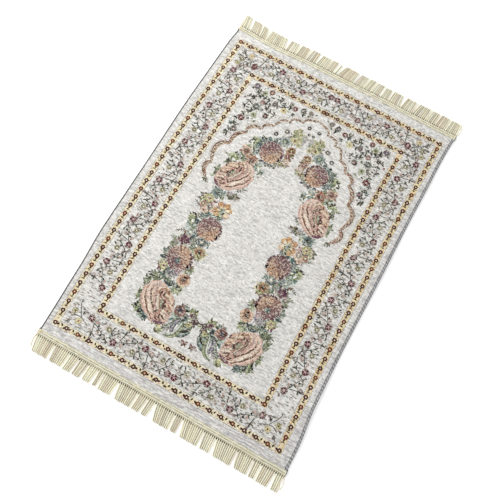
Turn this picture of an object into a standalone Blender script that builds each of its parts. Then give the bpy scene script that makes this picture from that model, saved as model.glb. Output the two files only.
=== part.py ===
"""Prayer rug lying flat: a woven cloth, overlocked along its two long sides, with a sewn-on fringe
at each end.

Metres, +Z up. +X runs across the rug and +Y along it, towards the end with the pointed arch. The
origin is on the floor, below the middle of the box that holds the whole rug.

A point of the cloth is named by its place on the flat cut length: u across and v along, both
from the middle of the woven pattern. plan() and lift() lay that point on the floor.
"""

import bmesh
import bpy

MM = 0.001

# Cloth
CLOTH_THICKNESS = 2.4 * MM
HALF_LENGTH = 503.0 * MM  # middle of the pattern to the cloth's cut end
INNER_COLUMNS = 14
INNER_ROWS = 22
EDGE_STEPS = (9.5 * MM, 30.0 * MM)  # first lines of the grid, in from the side line or the cut end
SEW_GAP = 0.3 * MM  # between pieces that are sewn together

# The two side lines: how far each lies from the middle of the pattern. The cut isn't quite parallel
# to the weave, and the corner on the right of the near end spreads.
# share of the length from the near end, left, right
SIDE_LINES = (
    (0.00, 335.3 * MM, 348.8 * MM),
    (0.06, 335.3 * MM, 349.8 * MM),
    (0.18, 336.6 * MM, 342.6 * MM),
    (0.30, 340.9 * MM, 342.4 * MM),
    (0.50, 340.5 * MM, 344.0 * MM),
    (0.75, 342.5 * MM, 341.5 * MM),
    (0.94, 342.2 * MM, 339.2 * MM),
    (1.00, 338.9 * MM, 340.9 * MM),
)

# How the rug lies: bowed to the left in the middle, a little skewed, its far end drawn in at one place
BOW = 7.8 * MM
SKEW = 1.95 * MM
DIP = 5.5 * MM
DIP_AT = -220.0 * MM
DIP_HALF_WIDTH = 110.0 * MM
DIP_STARTS = 0.93  # share of the half length
CENTRE_X = 0.8 * MM

# Where the rug stands off the floor: middle across, middle along, half width, half length, height
RISES = (
    (345.0 * MM, -330.0 * MM, 75.0 * MM, 150.0 * MM, 2.8 * MM),
    (345.0 * MM, 60.0 * MM, 60.0 * MM, 120.0 * MM, 1.5 * MM),
    (345.0 * MM, 330.0 * MM, 55.0 * MM, 90.0 * MM, 1.2 * MM),
    (-345.0 * MM, 210.0 * MM, 65.0 * MM, 130.0 * MM, 2.0 * MM),
    (-345.0 * MM, -190.0 * MM, 60.0 * MM, 130.0 * MM, 1.6 * MM),
    (-210.0 * MM, 505.0 * MM, 95.0 * MM, 60.0 * MM, 1.9 * MM),
    (95.0 * MM, 505.0 * MM, 110.0 * MM, 55.0 * MM, 1.3 * MM),
    (-120.0 * MM, -505.0 * MM, 90.0 * MM, 55.0 * MM, 1.5 * MM),
    (185.0 * MM, -505.0 * MM, 100.0 * MM, 60.0 * MM, 1.7 * MM),
)

# Overlocked sides: a layer of yarn that wraps the cut edge, over it, round it and under it
YARN_LAYER = 0.5 * MM
LEFT_OVERLOCK_WIDTH = 3.4 * MM
RIGHT_OVERLOCK_WIDTH = 7.5 * MM
OVERLOCK_ROUNDING = 0.8 * MM
OVERLOCK_HEIGHT = CLOTH_THICKNESS + 2.0 * (YARN_LAYER + SEW_GAP)

# Fringe: its heading laps the cloth's end and drops to the floor just past it, where the strands start
HEADING_LAP = 8.0 * MM
HEADING_THICKNESS = 1.1 * MM
HEADING_DROP = 2.5 * MM
HEADING_ROUNDING = 0.9 * MM
STRAND_MARGIN = 2.6 * MM  # first and last strand, in from the side line
STRAND_WIDTH = 3.3 * MM
STRAND_TIP_WIDTH = 2.8 * MM
STRAND_HEIGHT = 2.0 * MM
STRAND_TIP_HEIGHT = 1.5 * MM
STRAND_TOP_SHARE = 0.6  # width of a strand's top, as a share of its base
STRAND_SEGMENTS = 2
STRAND_ROOT_DEPTH = 1.2 * MM  # how far a strand runs inside the heading
STRAND_ROOT_RISE = 0.15 * MM  # a strand leaves the heading this far above the floor
STRAND_UNEVENNESS = 0.8 * MM
CLUMP_SQUEEZE = 0.18  # the strands of a clump draw together towards their tips by this share

# The strands lie in clumps, listed from left to right: strands, lean of the tips, length
FAR_CLUMPS = (
    (5, -8.0 * MM, 43.5 * MM),
    (6, -7.0 * MM, 41.5 * MM),
    (4, -6.0 * MM, 40.0 * MM),
    (12, -3.0 * MM, 40.0 * MM),
    (6, -1.0 * MM, 40.5 * MM),
    (6, 1.0 * MM, 40.0 * MM),
    (6, 2.0 * MM, 40.5 * MM),
    (6, 3.0 * MM, 39.5 * MM),
    (5, 3.0 * MM, 40.0 * MM),
    (2, 3.5 * MM, 38.5 * MM),
    (10, 6.0 * MM, 40.5 * MM),
    (5, 5.0 * MM, 40.5 * MM),
    (5, 5.0 * MM, 41.0 * MM),
    (5, 4.0 * MM, 40.5 * MM),
    (5, 1.0 * MM, 39.5 * MM),
    (7, -1.0 * MM, 40.0 * MM),
    (7, 3.0 * MM, 40.5 * MM),
    (8, 5.0 * MM, 41.0 * MM),
    (5, 4.0 * MM, 41.0 * MM),
    (6, 3.0 * MM, 41.5 * MM),
    (7, 1.0 * MM, 41.0 * MM),
)
NEAR_CLUMPS = (
    (10, 3.0 * MM, 43.0 * MM),
    (8, 0.0 * MM, 42.5 * MM),
    (5, -4.0 * MM, 43.5 * MM),
    (5, -4.0 * MM, 43.0 * MM),
    (5, -3.0 * MM, 42.0 * MM),
    (3, -1.0 * MM, 41.5 * MM),
    (8, -2.0 * MM, 42.5 * MM),
    (10, 1.0 * MM, 43.5 * MM),
    (5, -4.0 * MM, 43.0 * MM),
    (4, -4.0 * MM, 42.5 * MM),
    (10, 5.0 * MM, 43.5 * MM),
    (4, 1.0 * MM, 42.0 * MM),
    (11, 4.0 * MM, 43.5 * MM),
    (6, 2.0 * MM, 43.0 * MM),
    (11, 3.0 * MM, 43.5 * MM),
    (8, 2.0 * MM, 43.0 * MM),
    (4, 0.0 * MM, 42.5 * MM),
    (7, -3.0 * MM, 43.5 * MM),
    (4, 0.0 * MM, 43.0 * MM),
)

LEFT, RIGHT = -1, 1
NEAR, FAR = -1, 1

# name, base colour, roughness
CLOTH_FINISH = ("woven_cloth", (0.70, 0.69, 0.65, 1.0), 0.9)
OVERLOCK_FINISH = ("edge_yarn", (0.24, 0.24, 0.25, 1.0), 0.85)
FRINGE_FINISH = ("fringe_yarn", (0.76, 0.71, 0.50, 1.0), 0.8)

PARTS_NAME = "prayer_rug"
HELPERS_NAME = "prayer_rug_helpers"


def smooth(low, high, value):
    """0 below low and 1 above high, with a soft turn between."""
    share = min(max((value - low) / (high - low), 0.0), 1.0)
    return share * share * (3.0 - 2.0 * share)


def hump(distance_squared):
    """1 in the middle, 0 from a distance of 1 outwards."""
    return max(0.0, 1.0 - distance_squared) ** 2


def side_line(v, side):
    """How far the rug's outer side lies from the middle of the pattern."""
    share = min(max(0.5 + 0.5 * v / HALF_LENGTH, 0.0), 1.0)
    column = 1 if side == LEFT else 2
    for low, high in zip(SIDE_LINES, SIDE_LINES[1:]):
        if share <= high[0]:
            blend = smooth(low[0], high[0], share)
            return low[column] + (high[column] - low[column]) * blend
    return SIDE_LINES[-1][column]


def plan(u, v):
    """Where a point of the flat cloth lies, seen from above."""
    share = v / HALF_LENGTH
    drawn_in = DIP * hump(((u - DIP_AT) / DIP_HALF_WIDTH) ** 2) * smooth(DIP_STARTS, 1.0, share)
    x = u + SKEW * share - BOW * (1.0 - share * share) + CENTRE_X
    y = v - drawn_in
    return x, y


def lift(u, v):
    """How far the rug stands off the floor."""
    total = 0.0
    for across, along, half_width, half_length, height in RISES:
        total += height * hump(((u - across) / half_width) ** 2 + ((v - along) / half_length) ** 2)
    return total


def edge_rise(u, v):
    """The yarn under the cloth's side holds it up by its own thickness."""
    inward = side_line(v, LEFT if u < 0.0 else RIGHT) - abs(u)
    return (YARN_LAYER + SEW_GAP) * (1.0 - smooth(EDGE_STEPS[0], EDGE_STEPS[1], inward))


def even_steps(first, last, count):
    """count + 1 values from first to last."""
    return [first + (last - first) * index / count for index in range(count + 1)]


def grid_lines(low, high, inner_count):
    """Values from low to high, with the closer steps that the cloth's edges need."""
    near_step, far_step = EDGE_STEPS
    inner = even_steps(low + far_step, high - far_step, inner_count)
    return [low, low + near_step, *inner, high - near_step, high]


def cloth_columns(v):
    """The cloth's lines across, from its left cut edge to its right one."""
    inset = YARN_LAYER + SEW_GAP
    return grid_lines(inset - side_line(v, LEFT), side_line(v, RIGHT) - inset, INNER_COLUMNS)


def finish(label, colour, roughness):
    """A cloth or yarn material."""
    material = bpy.data.materials.new(label)
    material.use_nodes = True
    shader = material.node_tree.nodes["Principled BSDF"]
    shader.inputs["Base Color"].default_value = colour
    shader.inputs["Roughness"].default_value = roughness
    shader.inputs["Metallic"].default_value = 0.0
    return material


def new_object(name, mesh_data, collection, material):
    """Turns a bmesh into an object of the collection."""
    mesh = bpy.data.meshes.new(name)
    mesh_data.to_mesh(mesh)
    mesh_data.free()
    mesh.materials.append(material)
    part = bpy.data.objects.new(name, mesh)
    collection.objects.link(part)
    return part


def loft(mesh_data, rings):
    """Adds one closed body through rings of equal count, each listed the same way round."""
    loops = [[mesh_data.verts.new(point) for point in ring] for ring in rings]
    for here, there in zip(loops, loops[1:]):
        for index in range(len(here)):
            after = (index + 1) % len(here)
            mesh_data.faces.new((here[index], here[after], there[after], there[index]))
    mesh_data.faces.new(list(reversed(loops[0])))
    mesh_data.faces.new(loops[-1])


def outward(mesh_data):
    """Points all faces of closed bodies outwards."""
    bmesh.ops.recalc_face_normals(mesh_data, faces=mesh_data.faces)


def make_cloth(collection, material):
    """The woven cloth: a laid grid with its thickness above it."""
    rows = grid_lines(-HALF_LENGTH, HALF_LENGTH, INNER_ROWS)
    column_count = len(cloth_columns(0.0))
    mesh_data = bmesh.new()
    bmesh.ops.create_grid(mesh_data, x_segments=column_count - 1, y_segments=len(rows) - 1, size=1.0)
    mesh_data.verts.ensure_lookup_table()
    ordered = sorted(mesh_data.verts, key=lambda vert: (round(vert.co.y, 4), vert.co.x))
    for row, v in enumerate(rows):
        for column, u in enumerate(cloth_columns(v)):
            vert = ordered[row * column_count + column]
            vert.co = (*plan(u, v), lift(u, v) + edge_rise(u, v))
    cloth = new_object("rug_cloth", mesh_data, collection, material)
    thickness = cloth.modifiers.new("thickness", "SOLIDIFY")
    thickness.thickness = CLOTH_THICKNESS
    thickness.offset = 1.0
    return cloth


def overlock_section(width):
    """The wrap's section: distance in from the side line, height above the rug's underside."""
    top = OVERLOCK_HEIGHT
    return (
        (width, 0.0),
        (OVERLOCK_ROUNDING, 0.0),
        (0.0, OVERLOCK_ROUNDING),
        (0.0, top - OVERLOCK_ROUNDING),
        (OVERLOCK_ROUNDING, top),
        (width, top),
        (width, top - YARN_LAYER),
        (YARN_LAYER, top - YARN_LAYER),
        (YARN_LAYER, YARN_LAYER),
        (width, YARN_LAYER),
    )


def make_overlock(name, side, width, collection, material):
    """The yarn wrapped round one long side, from heading to heading."""
    end = HALF_LENGTH - HEADING_LAP - SEW_GAP
    rows = [-end, *grid_lines(-HALF_LENGTH, HALF_LENGTH, INNER_ROWS)[2:-2], end]
    rings = []
    for v in rows:
        ring = []
        for inward, height in overlock_section(width):
            u = side * (side_line(v, side) - inward)
            ring.append((*plan(u, v), lift(u, v) + height))
        rings.append(ring)
    mesh_data = bmesh.new()
    loft(mesh_data, rings)
    outward(mesh_data)
    return new_object(name, mesh_data, collection, material)


def heading_ring(u, end):
    """The heading's section at one place across the rug: a lap over the cloth and a drop past it."""
    under = CLOTH_THICKNESS + SEW_GAP
    top = under + HEADING_THICKNESS
    outer = SEW_GAP + HEADING_DROP
    # distance past the cut end, height above the cloth's underside (None: on the floor)
    section = (
        (-HEADING_LAP, under),
        (-HEADING_LAP, top - 0.5 * HEADING_ROUNDING),
        (-HEADING_LAP + HEADING_ROUNDING, top),
        (outer - HEADING_ROUNDING, top),
        (outer, top - HEADING_ROUNDING),
        (outer, None),
        (SEW_GAP, None),
        (SEW_GAP, under),
    )
    ring = []
    for past, height in section:
        v = end * (HALF_LENGTH + past)
        base = lift(u, end * HALF_LENGTH) + edge_rise(u, end * HALF_LENGTH)
        ring.append((*plan(u, v), 0.0 if height is None else base + height))
    return ring


def strand_roots(end, clumps):
    """Each strand as its place across at the root and at the tip, and its length."""
    v = end * HALF_LENGTH
    first = STRAND_MARGIN - side_line(v, LEFT)
    last = side_line(v, RIGHT) - STRAND_MARGIN
    count = sum(clump[0] for clump in clumps)
    places = even_steps(first, last, count - 1)
    strands = []
    start = 0
    for size, lean, length in clumps:
        members = places[start:start + size]
        middle = 0.5 * (members[0] + members[-1])
        for index, root in enumerate(members):
            tip = root + lean - CLUMP_SQUEEZE * (root - middle)
            uneven = STRAND_UNEVENNESS * ((start + index) * 5 % 7 / 3.0 - 1.0)
            strands.append((root, tip, length + uneven))
        start += size
    return strands


def strand_ring(u, v, width, height, floor):
    """A strand's four-sided section, flat below and narrower above."""
    half = 0.5 * width
    top = half * STRAND_TOP_SHARE
    corners = ((-half, 0.0), (half, 0.0), (top, height), (-top, height))
    return [(*plan(u + across, v), floor + up) for across, up in corners]


def make_strands(name, end, clumps, collection, material):
    """All the strands of one fringe, rooted inside its heading and level on the floor."""
    start = SEW_GAP + HEADING_DROP
    mesh_data = bmesh.new()
    for root, tip, length in strand_roots(end, clumps):
        rings = []
        inside = end * (HALF_LENGTH + start - STRAND_ROOT_DEPTH)
        rings.append(strand_ring(root, inside, STRAND_WIDTH, STRAND_HEIGHT, STRAND_ROOT_RISE))
        for step in range(1, STRAND_SEGMENTS + 1):
            share = step / STRAND_SEGMENTS
            u = root + (tip - root) * share ** 1.4
            v = end * (HALF_LENGTH + start + length * share)
            width = STRAND_WIDTH + (STRAND_TIP_WIDTH - STRAND_WIDTH) * share
            height = STRAND_HEIGHT + (STRAND_TIP_HEIGHT - STRAND_HEIGHT) * share
            rings.append(strand_ring(u, v, width, height, 0.0))
        loft(mesh_data, rings)
    outward(mesh_data)
    strands = new_object(name, mesh_data, collection, material)
    strands.hide_render = True
    strands.display_type = "WIRE"
    return strands


def make_fringe(name, end, clumps, collection, helpers, material):
    """One fringe: its heading, with the roots of its strands fused into it."""
    v = end * HALF_LENGTH
    columns = [-side_line(v, LEFT), *cloth_columns(v)[1:-1], side_line(v, RIGHT)]
    mesh_data = bmesh.new()
    loft(mesh_data, [heading_ring(u, end) for u in columns])
    outward(mesh_data)
    fringe = new_object(name, mesh_data, collection, material)
    join = fringe.modifiers.new("strands", "BOOLEAN")
    join.operation = "UNION"
    join.solver = "EXACT"
    join.object = make_strands(f"{name}_strands", end, clumps, helpers, material)
    return fringe


def new_collection(name):
    """A collection of the scene."""
    collection = bpy.data.collections.new(name)
    bpy.context.scene.collection.children.link(collection)
    return collection


def main():
    for existing in list(bpy.data.objects):
        bpy.data.objects.remove(existing, do_unlink=True)
    parts = new_collection(PARTS_NAME)
    helpers = new_collection(HELPERS_NAME)
    edge_yarn = finish(*OVERLOCK_FINISH)
    fringe_yarn = finish(*FRINGE_FINISH)
    make_cloth(parts, finish(*CLOTH_FINISH))
    make_overlock("left_overlock", LEFT, LEFT_OVERLOCK_WIDTH, parts, edge_yarn)
    make_overlock("right_overlock", RIGHT, RIGHT_OVERLOCK_WIDTH, parts, edge_yarn)
    make_fringe("far_fringe", FAR, FAR_CLUMPS, parts, helpers, fringe_yarn)
    make_fringe("near_fringe", NEAR, NEAR_CLUMPS, parts, helpers, fringe_yarn)


main()
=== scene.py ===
"""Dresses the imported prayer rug: woven cloth with its figures, overlocked sides and fringes.

The pattern is drawn in millimetres on the flat cloth, u across and v along from the pattern's
middle. The rug's own sizes are in millimetres too, and become metres, as in the frame, where a point
is laid on the rug. The user's sizes, the materials and the stage are in metres.
"""

import math
import random

import bpy
from mathutils import Matrix, Vector


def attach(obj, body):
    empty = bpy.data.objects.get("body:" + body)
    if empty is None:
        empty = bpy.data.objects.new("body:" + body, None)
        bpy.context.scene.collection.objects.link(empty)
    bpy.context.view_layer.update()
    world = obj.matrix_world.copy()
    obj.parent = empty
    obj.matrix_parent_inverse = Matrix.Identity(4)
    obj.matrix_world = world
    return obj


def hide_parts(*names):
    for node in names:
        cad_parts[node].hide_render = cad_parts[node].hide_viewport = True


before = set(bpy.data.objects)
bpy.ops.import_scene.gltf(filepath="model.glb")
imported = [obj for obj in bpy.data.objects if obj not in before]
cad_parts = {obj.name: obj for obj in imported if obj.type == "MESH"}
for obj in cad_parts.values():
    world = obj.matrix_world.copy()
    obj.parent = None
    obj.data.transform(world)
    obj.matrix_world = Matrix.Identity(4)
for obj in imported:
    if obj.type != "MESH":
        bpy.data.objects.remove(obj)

bl_info = {
    "name": "Prayer rug",
    "version": (1, 0, 0),
    "blender": (4, 5, 0),
    "location": "3D View > Sidebar > Rug",
    "description": "Makes the woven cloth, figures, overlocking and fringes of a prayer rug",
    "category": "Object",
}

MM = 0.001
LEFT, RIGHT = -1, 1
NEAR, FAR = -1, 1
BODY = "root"
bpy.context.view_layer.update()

# ---- how the rug lies, in millimetres

CLOTH_THICKNESS = 2.4
HALF_LENGTH = 503.0
EDGE_STEPS = (9.5, 30.0)  # the yarn's rise over the edge is full up to the first and gone at the second
SEW_GAP = 0.3

# share of the length from the near end, left side line, right side line
SIDE_LINES = (
    (0.00, 335.3, 348.8),
    (0.06, 335.3, 349.8),
    (0.18, 336.6, 342.6),
    (0.30, 340.9, 342.4),
    (0.50, 340.5, 344),
    (0.75, 342.5, 341.5),
    (0.94, 342.2, 339.2),
    (1.00, 338.9, 340.9),
)
# the bow of the long sides to the left, the skew, and the dip in the line of the far end
BOW = 7.8
SKEW = 1.95
DIP = 5.5
DIP_AT = -220.0
DIP_HALF_WIDTH = 110.0
DIP_STARTS = 0.93
CENTRE_X = 0.8

# middle across, middle along, half width, half length, height
RISES = (
    (345, -330, 75, 150, 2.8),
    (345, 60, 60, 120, 1.5),
    (345, 330, 55, 90, 1.2),
    (-345, 210, 65, 130, 2),
    (-345, -190, 60, 130, 1.6),
    (-210, 505, 95, 60, 1.9),
    (95, 505, 110, 55, 1.3),
    (-120, -505, 90, 55, 1.5),
    (185, -505, 100, 60, 1.7),
)

YARN_LAYER = 0.5
YARN_REACH = YARN_LAYER + SEW_GAP  # how far the overlock yarn stands out from the cloth
OVERLOCK_WIDTHS = {LEFT: 3.4, RIGHT: 7.5}

HEADING_LAP = 8.0
HEADING_THICKNESS = 1.1
BRAID_SINK = 0.35  # the heading's band lies this much below the top of its solid, under the braid
HEADING_TOP = CLOTH_THICKNESS + SEW_GAP + HEADING_THICKNESS - BRAID_SINK
HEADING_DROP = 2.5
HEADING_END = SEW_GAP + HEADING_DROP
STRAND_MARGIN = 2.6
STRAND_UNEVENNESS = 0.8
CLUMP_SQUEEZE = 0.18

# strands, lean of the tips, length
FAR_CLUMPS = (
    (5, -8, 43.5), (6, -7, 41.5), (4, -6, 40), (12, -3, 40), (6, -1, 40.5),
    (6, 1, 40), (6, 2, 40.5), (6, 3, 39.5), (5, 3, 40), (2, 3.5, 38.5),
    (10, 6, 40.5), (5, 5, 40.5), (5, 5, 41), (5, 4, 40.5), (5, 1, 39.5),
    (7, -1, 40), (7, 3, 40.5), (8, 5, 41), (5, 4, 41), (6, 3, 41.5),
    (7, 1, 41),
)
NEAR_CLUMPS = (
    (10, 3, 43), (8, 0, 42.5), (5, -4, 43.5), (5, -4, 43), (5, -3, 42),
    (3, -1, 41.5), (8, -2, 42.5), (10, 1, 43.5), (5, -4, 43), (4, -4, 42.5),
    (10, 5, 43.5), (4, 1, 42), (11, 4, 43.5), (6, 2, 43), (11, 3, 43.5),
    (8, 2, 43), (4, 0, 42.5), (7, -3, 43.5), (4, 0, 43),
)


def smooth(low, high, value):
    """0 at low and 1 at high, with a soft turn between."""
    share = min(max((value - low) / (high - low), 0.0), 1.0)
    return share * share * (3.0 - 2.0 * share)


def hump(distance_squared):
    """1 in the middle, 0 from a distance of 1 outwards."""
    return max(0.0, 1.0 - distance_squared) ** 2


def side_line(v, side):
    """How far the rug's outer side lies from the middle of the pattern."""
    share = min(max(0.5 + 0.5 * v / HALF_LENGTH, 0.0), 1.0)
    column = 1 if side == LEFT else 2
    for low, high in zip(SIDE_LINES, SIDE_LINES[1:]):
        if share <= high[0]:
            return low[column] + (high[column] - low[column]) * smooth(low[0], high[0], share)
    return SIDE_LINES[-1][column]


def plan(u, v):
    """Where a point of the flat cloth lies, seen from above."""
    share = v / HALF_LENGTH
    drawn_in = DIP * hump(((u - DIP_AT) / DIP_HALF_WIDTH) ** 2) * smooth(DIP_STARTS, 1.0, share)
    return u + SKEW * share - BOW * (1.0 - share * share) + CENTRE_X, v - drawn_in


def lift(u, v):
    """How far the rug stands off the floor."""
    total = 0.0
    for across, along, half_width, half_length, height in RISES:
        total += height * hump(((u - across) / half_width) ** 2 + ((v - along) / half_length) ** 2)
    return total


def underside(u, v):
    """How far the cloth's underside lies above the floor: the yarn under its sides holds it up too."""
    inward = side_line(v, LEFT if u < 0.0 else RIGHT) - abs(u)
    return lift(u, v) + YARN_REACH * (1.0 - smooth(*EDGE_STEPS, inward))


def placed(u, v, z):
    """A point of the rug's plan, in metres, at a height above the floor."""
    return Vector((*plan(u, v), z)) * MM


def laid(u, v, height):
    """A point of the rug, in metres, at a height above the cloth's underside."""
    return placed(u, v, underside(u, v) + height)


TURN_STEP = 2.0  # how far off the points lie that give the cloth's slope


def laid_turn(u, v, angle):
    """The rotation that lays a small flat thing on the cloth, turned by an angle on it."""
    across = (laid(u + TURN_STEP, v, 0.0) - laid(u - TURN_STEP, v, 0.0)).normalized()
    along = (laid(u, v + TURN_STEP, 0.0) - laid(u, v - TURN_STEP, 0.0)).normalized()
    up = across.cross(along).normalized()
    axes = Matrix((across, up.cross(across), up)).transposed()
    return (axes @ Matrix.Rotation(angle, 3, "Z")).to_euler()


# ---- yarn colours, as seen on a screen

YARNS = {
    "gold": (206, 170, 108), "straw": (230, 216, 168), "cream": (238, 234, 216),
    "maroon": (58, 14, 8), "rust": (144, 74, 42), "olive": (84, 78, 46),
    "vine": (88, 94, 78), "slate": (62, 66, 58), "ink": (38, 40, 36),
    "berry": (92, 24, 38), "blush": (206, 172, 176), "lemon": (206, 198, 148),
    "mouse": (148, 138, 134), "umber": (88, 62, 48), "tan": (190, 154, 124),
    "clay": (150, 110, 92), "salmon": (190, 149, 136), "petal": (229, 204, 187),
    "wine": (108, 62, 58), "plum": (104, 64, 82), "mauve": (134, 102, 104),
    "peach": (216, 172, 128), "amber": (190, 138, 90), "teal": (92, 114, 110),
    "mist": (160, 172, 166), "fern": (108, 118, 90), "moss": (142, 150, 114),
    "lime": (168, 176, 134), "cocoa": (122, 92, 76), "violet": (108, 102, 122),
    "navy": (58, 66, 80), "smoke": (172, 168, 168),
}


def linear(colour):
    """A screen colour as the light that Blender works with."""
    values = []
    for value in colour:
        share = value / 255.0
        values.append(share / 12.92 if share <= 0.04045 else ((share + 0.055) / 1.055) ** 2.4)
    return tuple(values)


def mixed(first, second, share):
    """A colour between two others."""
    return tuple(a + (b - a) * share for a, b in zip(first, second))


def dimmed(colour, factor):
    """A colour made darker or lighter."""
    return tuple(min(value * factor, 1.0) for value in colour)


def yarn(name):
    """A yarn's colour by name; two names joined by a plus sign are mixed evenly."""
    colours = [linear(YARNS[one]) for one in name.split("+")]
    return tuple(sum(values) / len(colours) for values in zip(*colours))


def yarns(names):
    """The colours of the yarns that a line of text names."""
    return [yarn(name) for name in names.split()]


# ---- what a user may change


def length_choice(name, description, default, least):
    """A length that a user may change, given here in millimetres."""
    return bpy.props.FloatProperty(
        name=name, description=description, default=default * MM, min=least * MM, unit="LENGTH")


class RugSizes(bpy.types.PropertyGroup):
    """Sizes of the weave, the stitches and the cords"""

    weft_pitch: length_choice("Weft pitch", "From one woven row to the next", 2.0, 0.5)
    float_length: length_choice("Float length", "How far a thread shows before it dips", 3.2, 0.5)
    figure_rise: length_choice("Figure rise", "How far the lowest figure yarn stands up", 0.15, 0.05)
    stitch_pitch: length_choice("Stitch pitch", "From one overlock stitch to the next", 2.2, 1.0)
    cord_radius: length_choice("Cord radius", "Mean radius of a twisted fringe cord", 1.58, 0.3)
    cord_pitch: length_choice("Cord pitch", "Length of one full twist of a fringe cord", 9.0, 2.0)


def colour_choice(name, description, screen_colour):
    """A colour that a user may change."""
    return bpy.props.FloatVectorProperty(
        name=name, description=description, subtype="COLOR", size=3, min=0.0, max=1.0,
        default=linear(screen_colour))


class RugColours(bpy.types.PropertyGroup):
    """Colours of the ground weave, the edge yarn and the fringe"""

    ground: colour_choice("Ground", "The pale yarn of the ground", (221, 219, 215))
    # the highlight is painted: bright dashes scattered over the ground's threads
    highlight: colour_choice("Highlight", "Bright threads in the ground", (242, 241, 237))
    cool_fleck: colour_choice("Cool fleck", "Grey threads in the ground", (152, 154, 153))
    warm_fleck: colour_choice("Warm fleck", "Beige threads in the ground", (200, 196, 184))
    margin: colour_choice("Margin", "Lilac-grey streaks outside the outer stripe", (146, 141, 150))
    edge_yarn: colour_choice("Edge yarn", "The grey overlock yarn", (108, 108, 112))
    fringe: colour_choice("Fringe", "The cream fringe cord", (232, 225, 190))
    floor: colour_choice("Floor", "The plain floor", (246, 246, 246))


# ---- node trees


class Wire:
    """A node's output that can take part in a sum."""

    def __init__(self, kit, socket):
        self.kit = kit
        self.socket = socket

    def other(self, name):
        """Another output of the same node."""
        return Wire(self.kit, self.socket.node.outputs[name])

    def __add__(self, value):
        return self.kit.math("ADD", self, value)

    def __radd__(self, value):
        return self.kit.math("ADD", value, self)

    def __sub__(self, value):
        return self.kit.math("SUBTRACT", self, value)

    def __rsub__(self, value):
        return self.kit.math("SUBTRACT", value, self)

    def __mul__(self, value):
        return self.kit.math("MULTIPLY", self, value)

    def __rmul__(self, value):
        return self.kit.math("MULTIPLY", value, self)

    def __truediv__(self, value):
        return self.kit.math("DIVIDE", self, value)

    def __rtruediv__(self, value):
        return self.kit.math("DIVIDE", value, self)

    def __gt__(self, value):
        return self.kit.math("GREATER_THAN", self, value)

    def __lt__(self, value):
        return self.kit.math("LESS_THAN", self, value)


class Kit:
    """Adds nodes to a tree."""

    def __init__(self, tree):
        self.tree = tree

    def add(self, kind, settings=None, inputs=None, output=0):
        """Adds one node: its settings first, then the values or links of its sockets."""
        node = self.tree.nodes.new(kind)
        for name, value in (settings or {}).items():
            setattr(node, name, value)
        self.fill(node, inputs or {})
        return Wire(self, node.outputs[output])

    def fill(self, node, inputs):
        """Links wires to a node's sockets, or sets the sockets' own values."""
        for name, value in inputs.items():
            if isinstance(value, Wire):
                self.tree.links.new(value.socket, node.inputs[name])
            else:
                node.inputs[name].default_value = value

    def math(self, operation, *values):
        """A Math node."""
        return self.add("ShaderNodeMath", {"operation": operation}, dict(enumerate(values)))


class Finish(Kit):
    """A material made of nodes around one Principled BSDF."""

    def __init__(self, name, roughness, sheen=0.0):
        self.material = bpy.data.materials.new(name)
        self.material.use_nodes = True
        super().__init__(self.material.node_tree)
        self.shade({"Roughness": roughness, "Specular IOR Level": 0.25,
                    "Sheen Weight": sheen, "Sheen Roughness": 0.5})

    def shade(self, inputs):
        """Sets or feeds the shader's sockets."""
        self.fill(self.tree.nodes["Principled BSDF"], inputs)

    def colour_mix(self, factor, first, second, blend="MIX"):
        """A colour between two others, or multiplied by one."""
        pair = [value if isinstance(value, Wire) else (*value, 1.0) for value in (first, second)]
        settings = {"data_type": "RGBA", "blend_type": blend}
        return self.add("ShaderNodeMix", settings, {0: factor, 6: pair[0], 7: pair[1]}, 2)

    def shaded(self, colour, light):
        """A colour made darker or lighter by a number."""
        grey = self.add("ShaderNodeCombineColor", None, {0: light, 1: light, 2: light})
        return self.colour_mix(1.0, colour, grey, "MULTIPLY")

    def ramp(self, value, low, high):
        """0 below low, 1 above high."""
        return self.add("ShaderNodeMapRange", None, {"Value": value, "From Min": low, "From Max": high})

    def place(self):
        """Where a point of the piece lies, in metres."""
        return self.add("ShaderNodeTexCoord", None, None, "Object")

    def noise(self, spot, scale, detail=2.0):
        """Soft noise, the same at the same spot."""
        return self.add("ShaderNodeTexNoise", {"noise_dimensions": "3D"},
                        {"Vector": spot, "Scale": scale, "Detail": detail})

    def dashes(self, x, row, length, seed):
        """Noise that runs along a woven row and starts anew on the next."""
        spot = self.add("ShaderNodeCombineXYZ", None, {0: x / length, 1: row * 5.37, 2: seed})
        return self.noise(spot, 1.0, 1.0)

    def bump(self, height, strength, distance):
        """Feeds the shader's normal from a height."""
        inputs = {"Height": height, "Strength": strength, "Distance": distance}
        self.shade({"Normal": self.add("ShaderNodeBump", None, inputs)})

    def attribute(self, name, output):
        """What a mesh stores under a name."""
        return self.add("ShaderNodeAttribute", {"attribute_name": name}, None, output)


PICK_ROWS = 1.5  # how many rows the broader dashes of the ground take
ROW_SHIFT = 0.37  # how far a row's floats stand over from those of the row below, in floats


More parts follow.
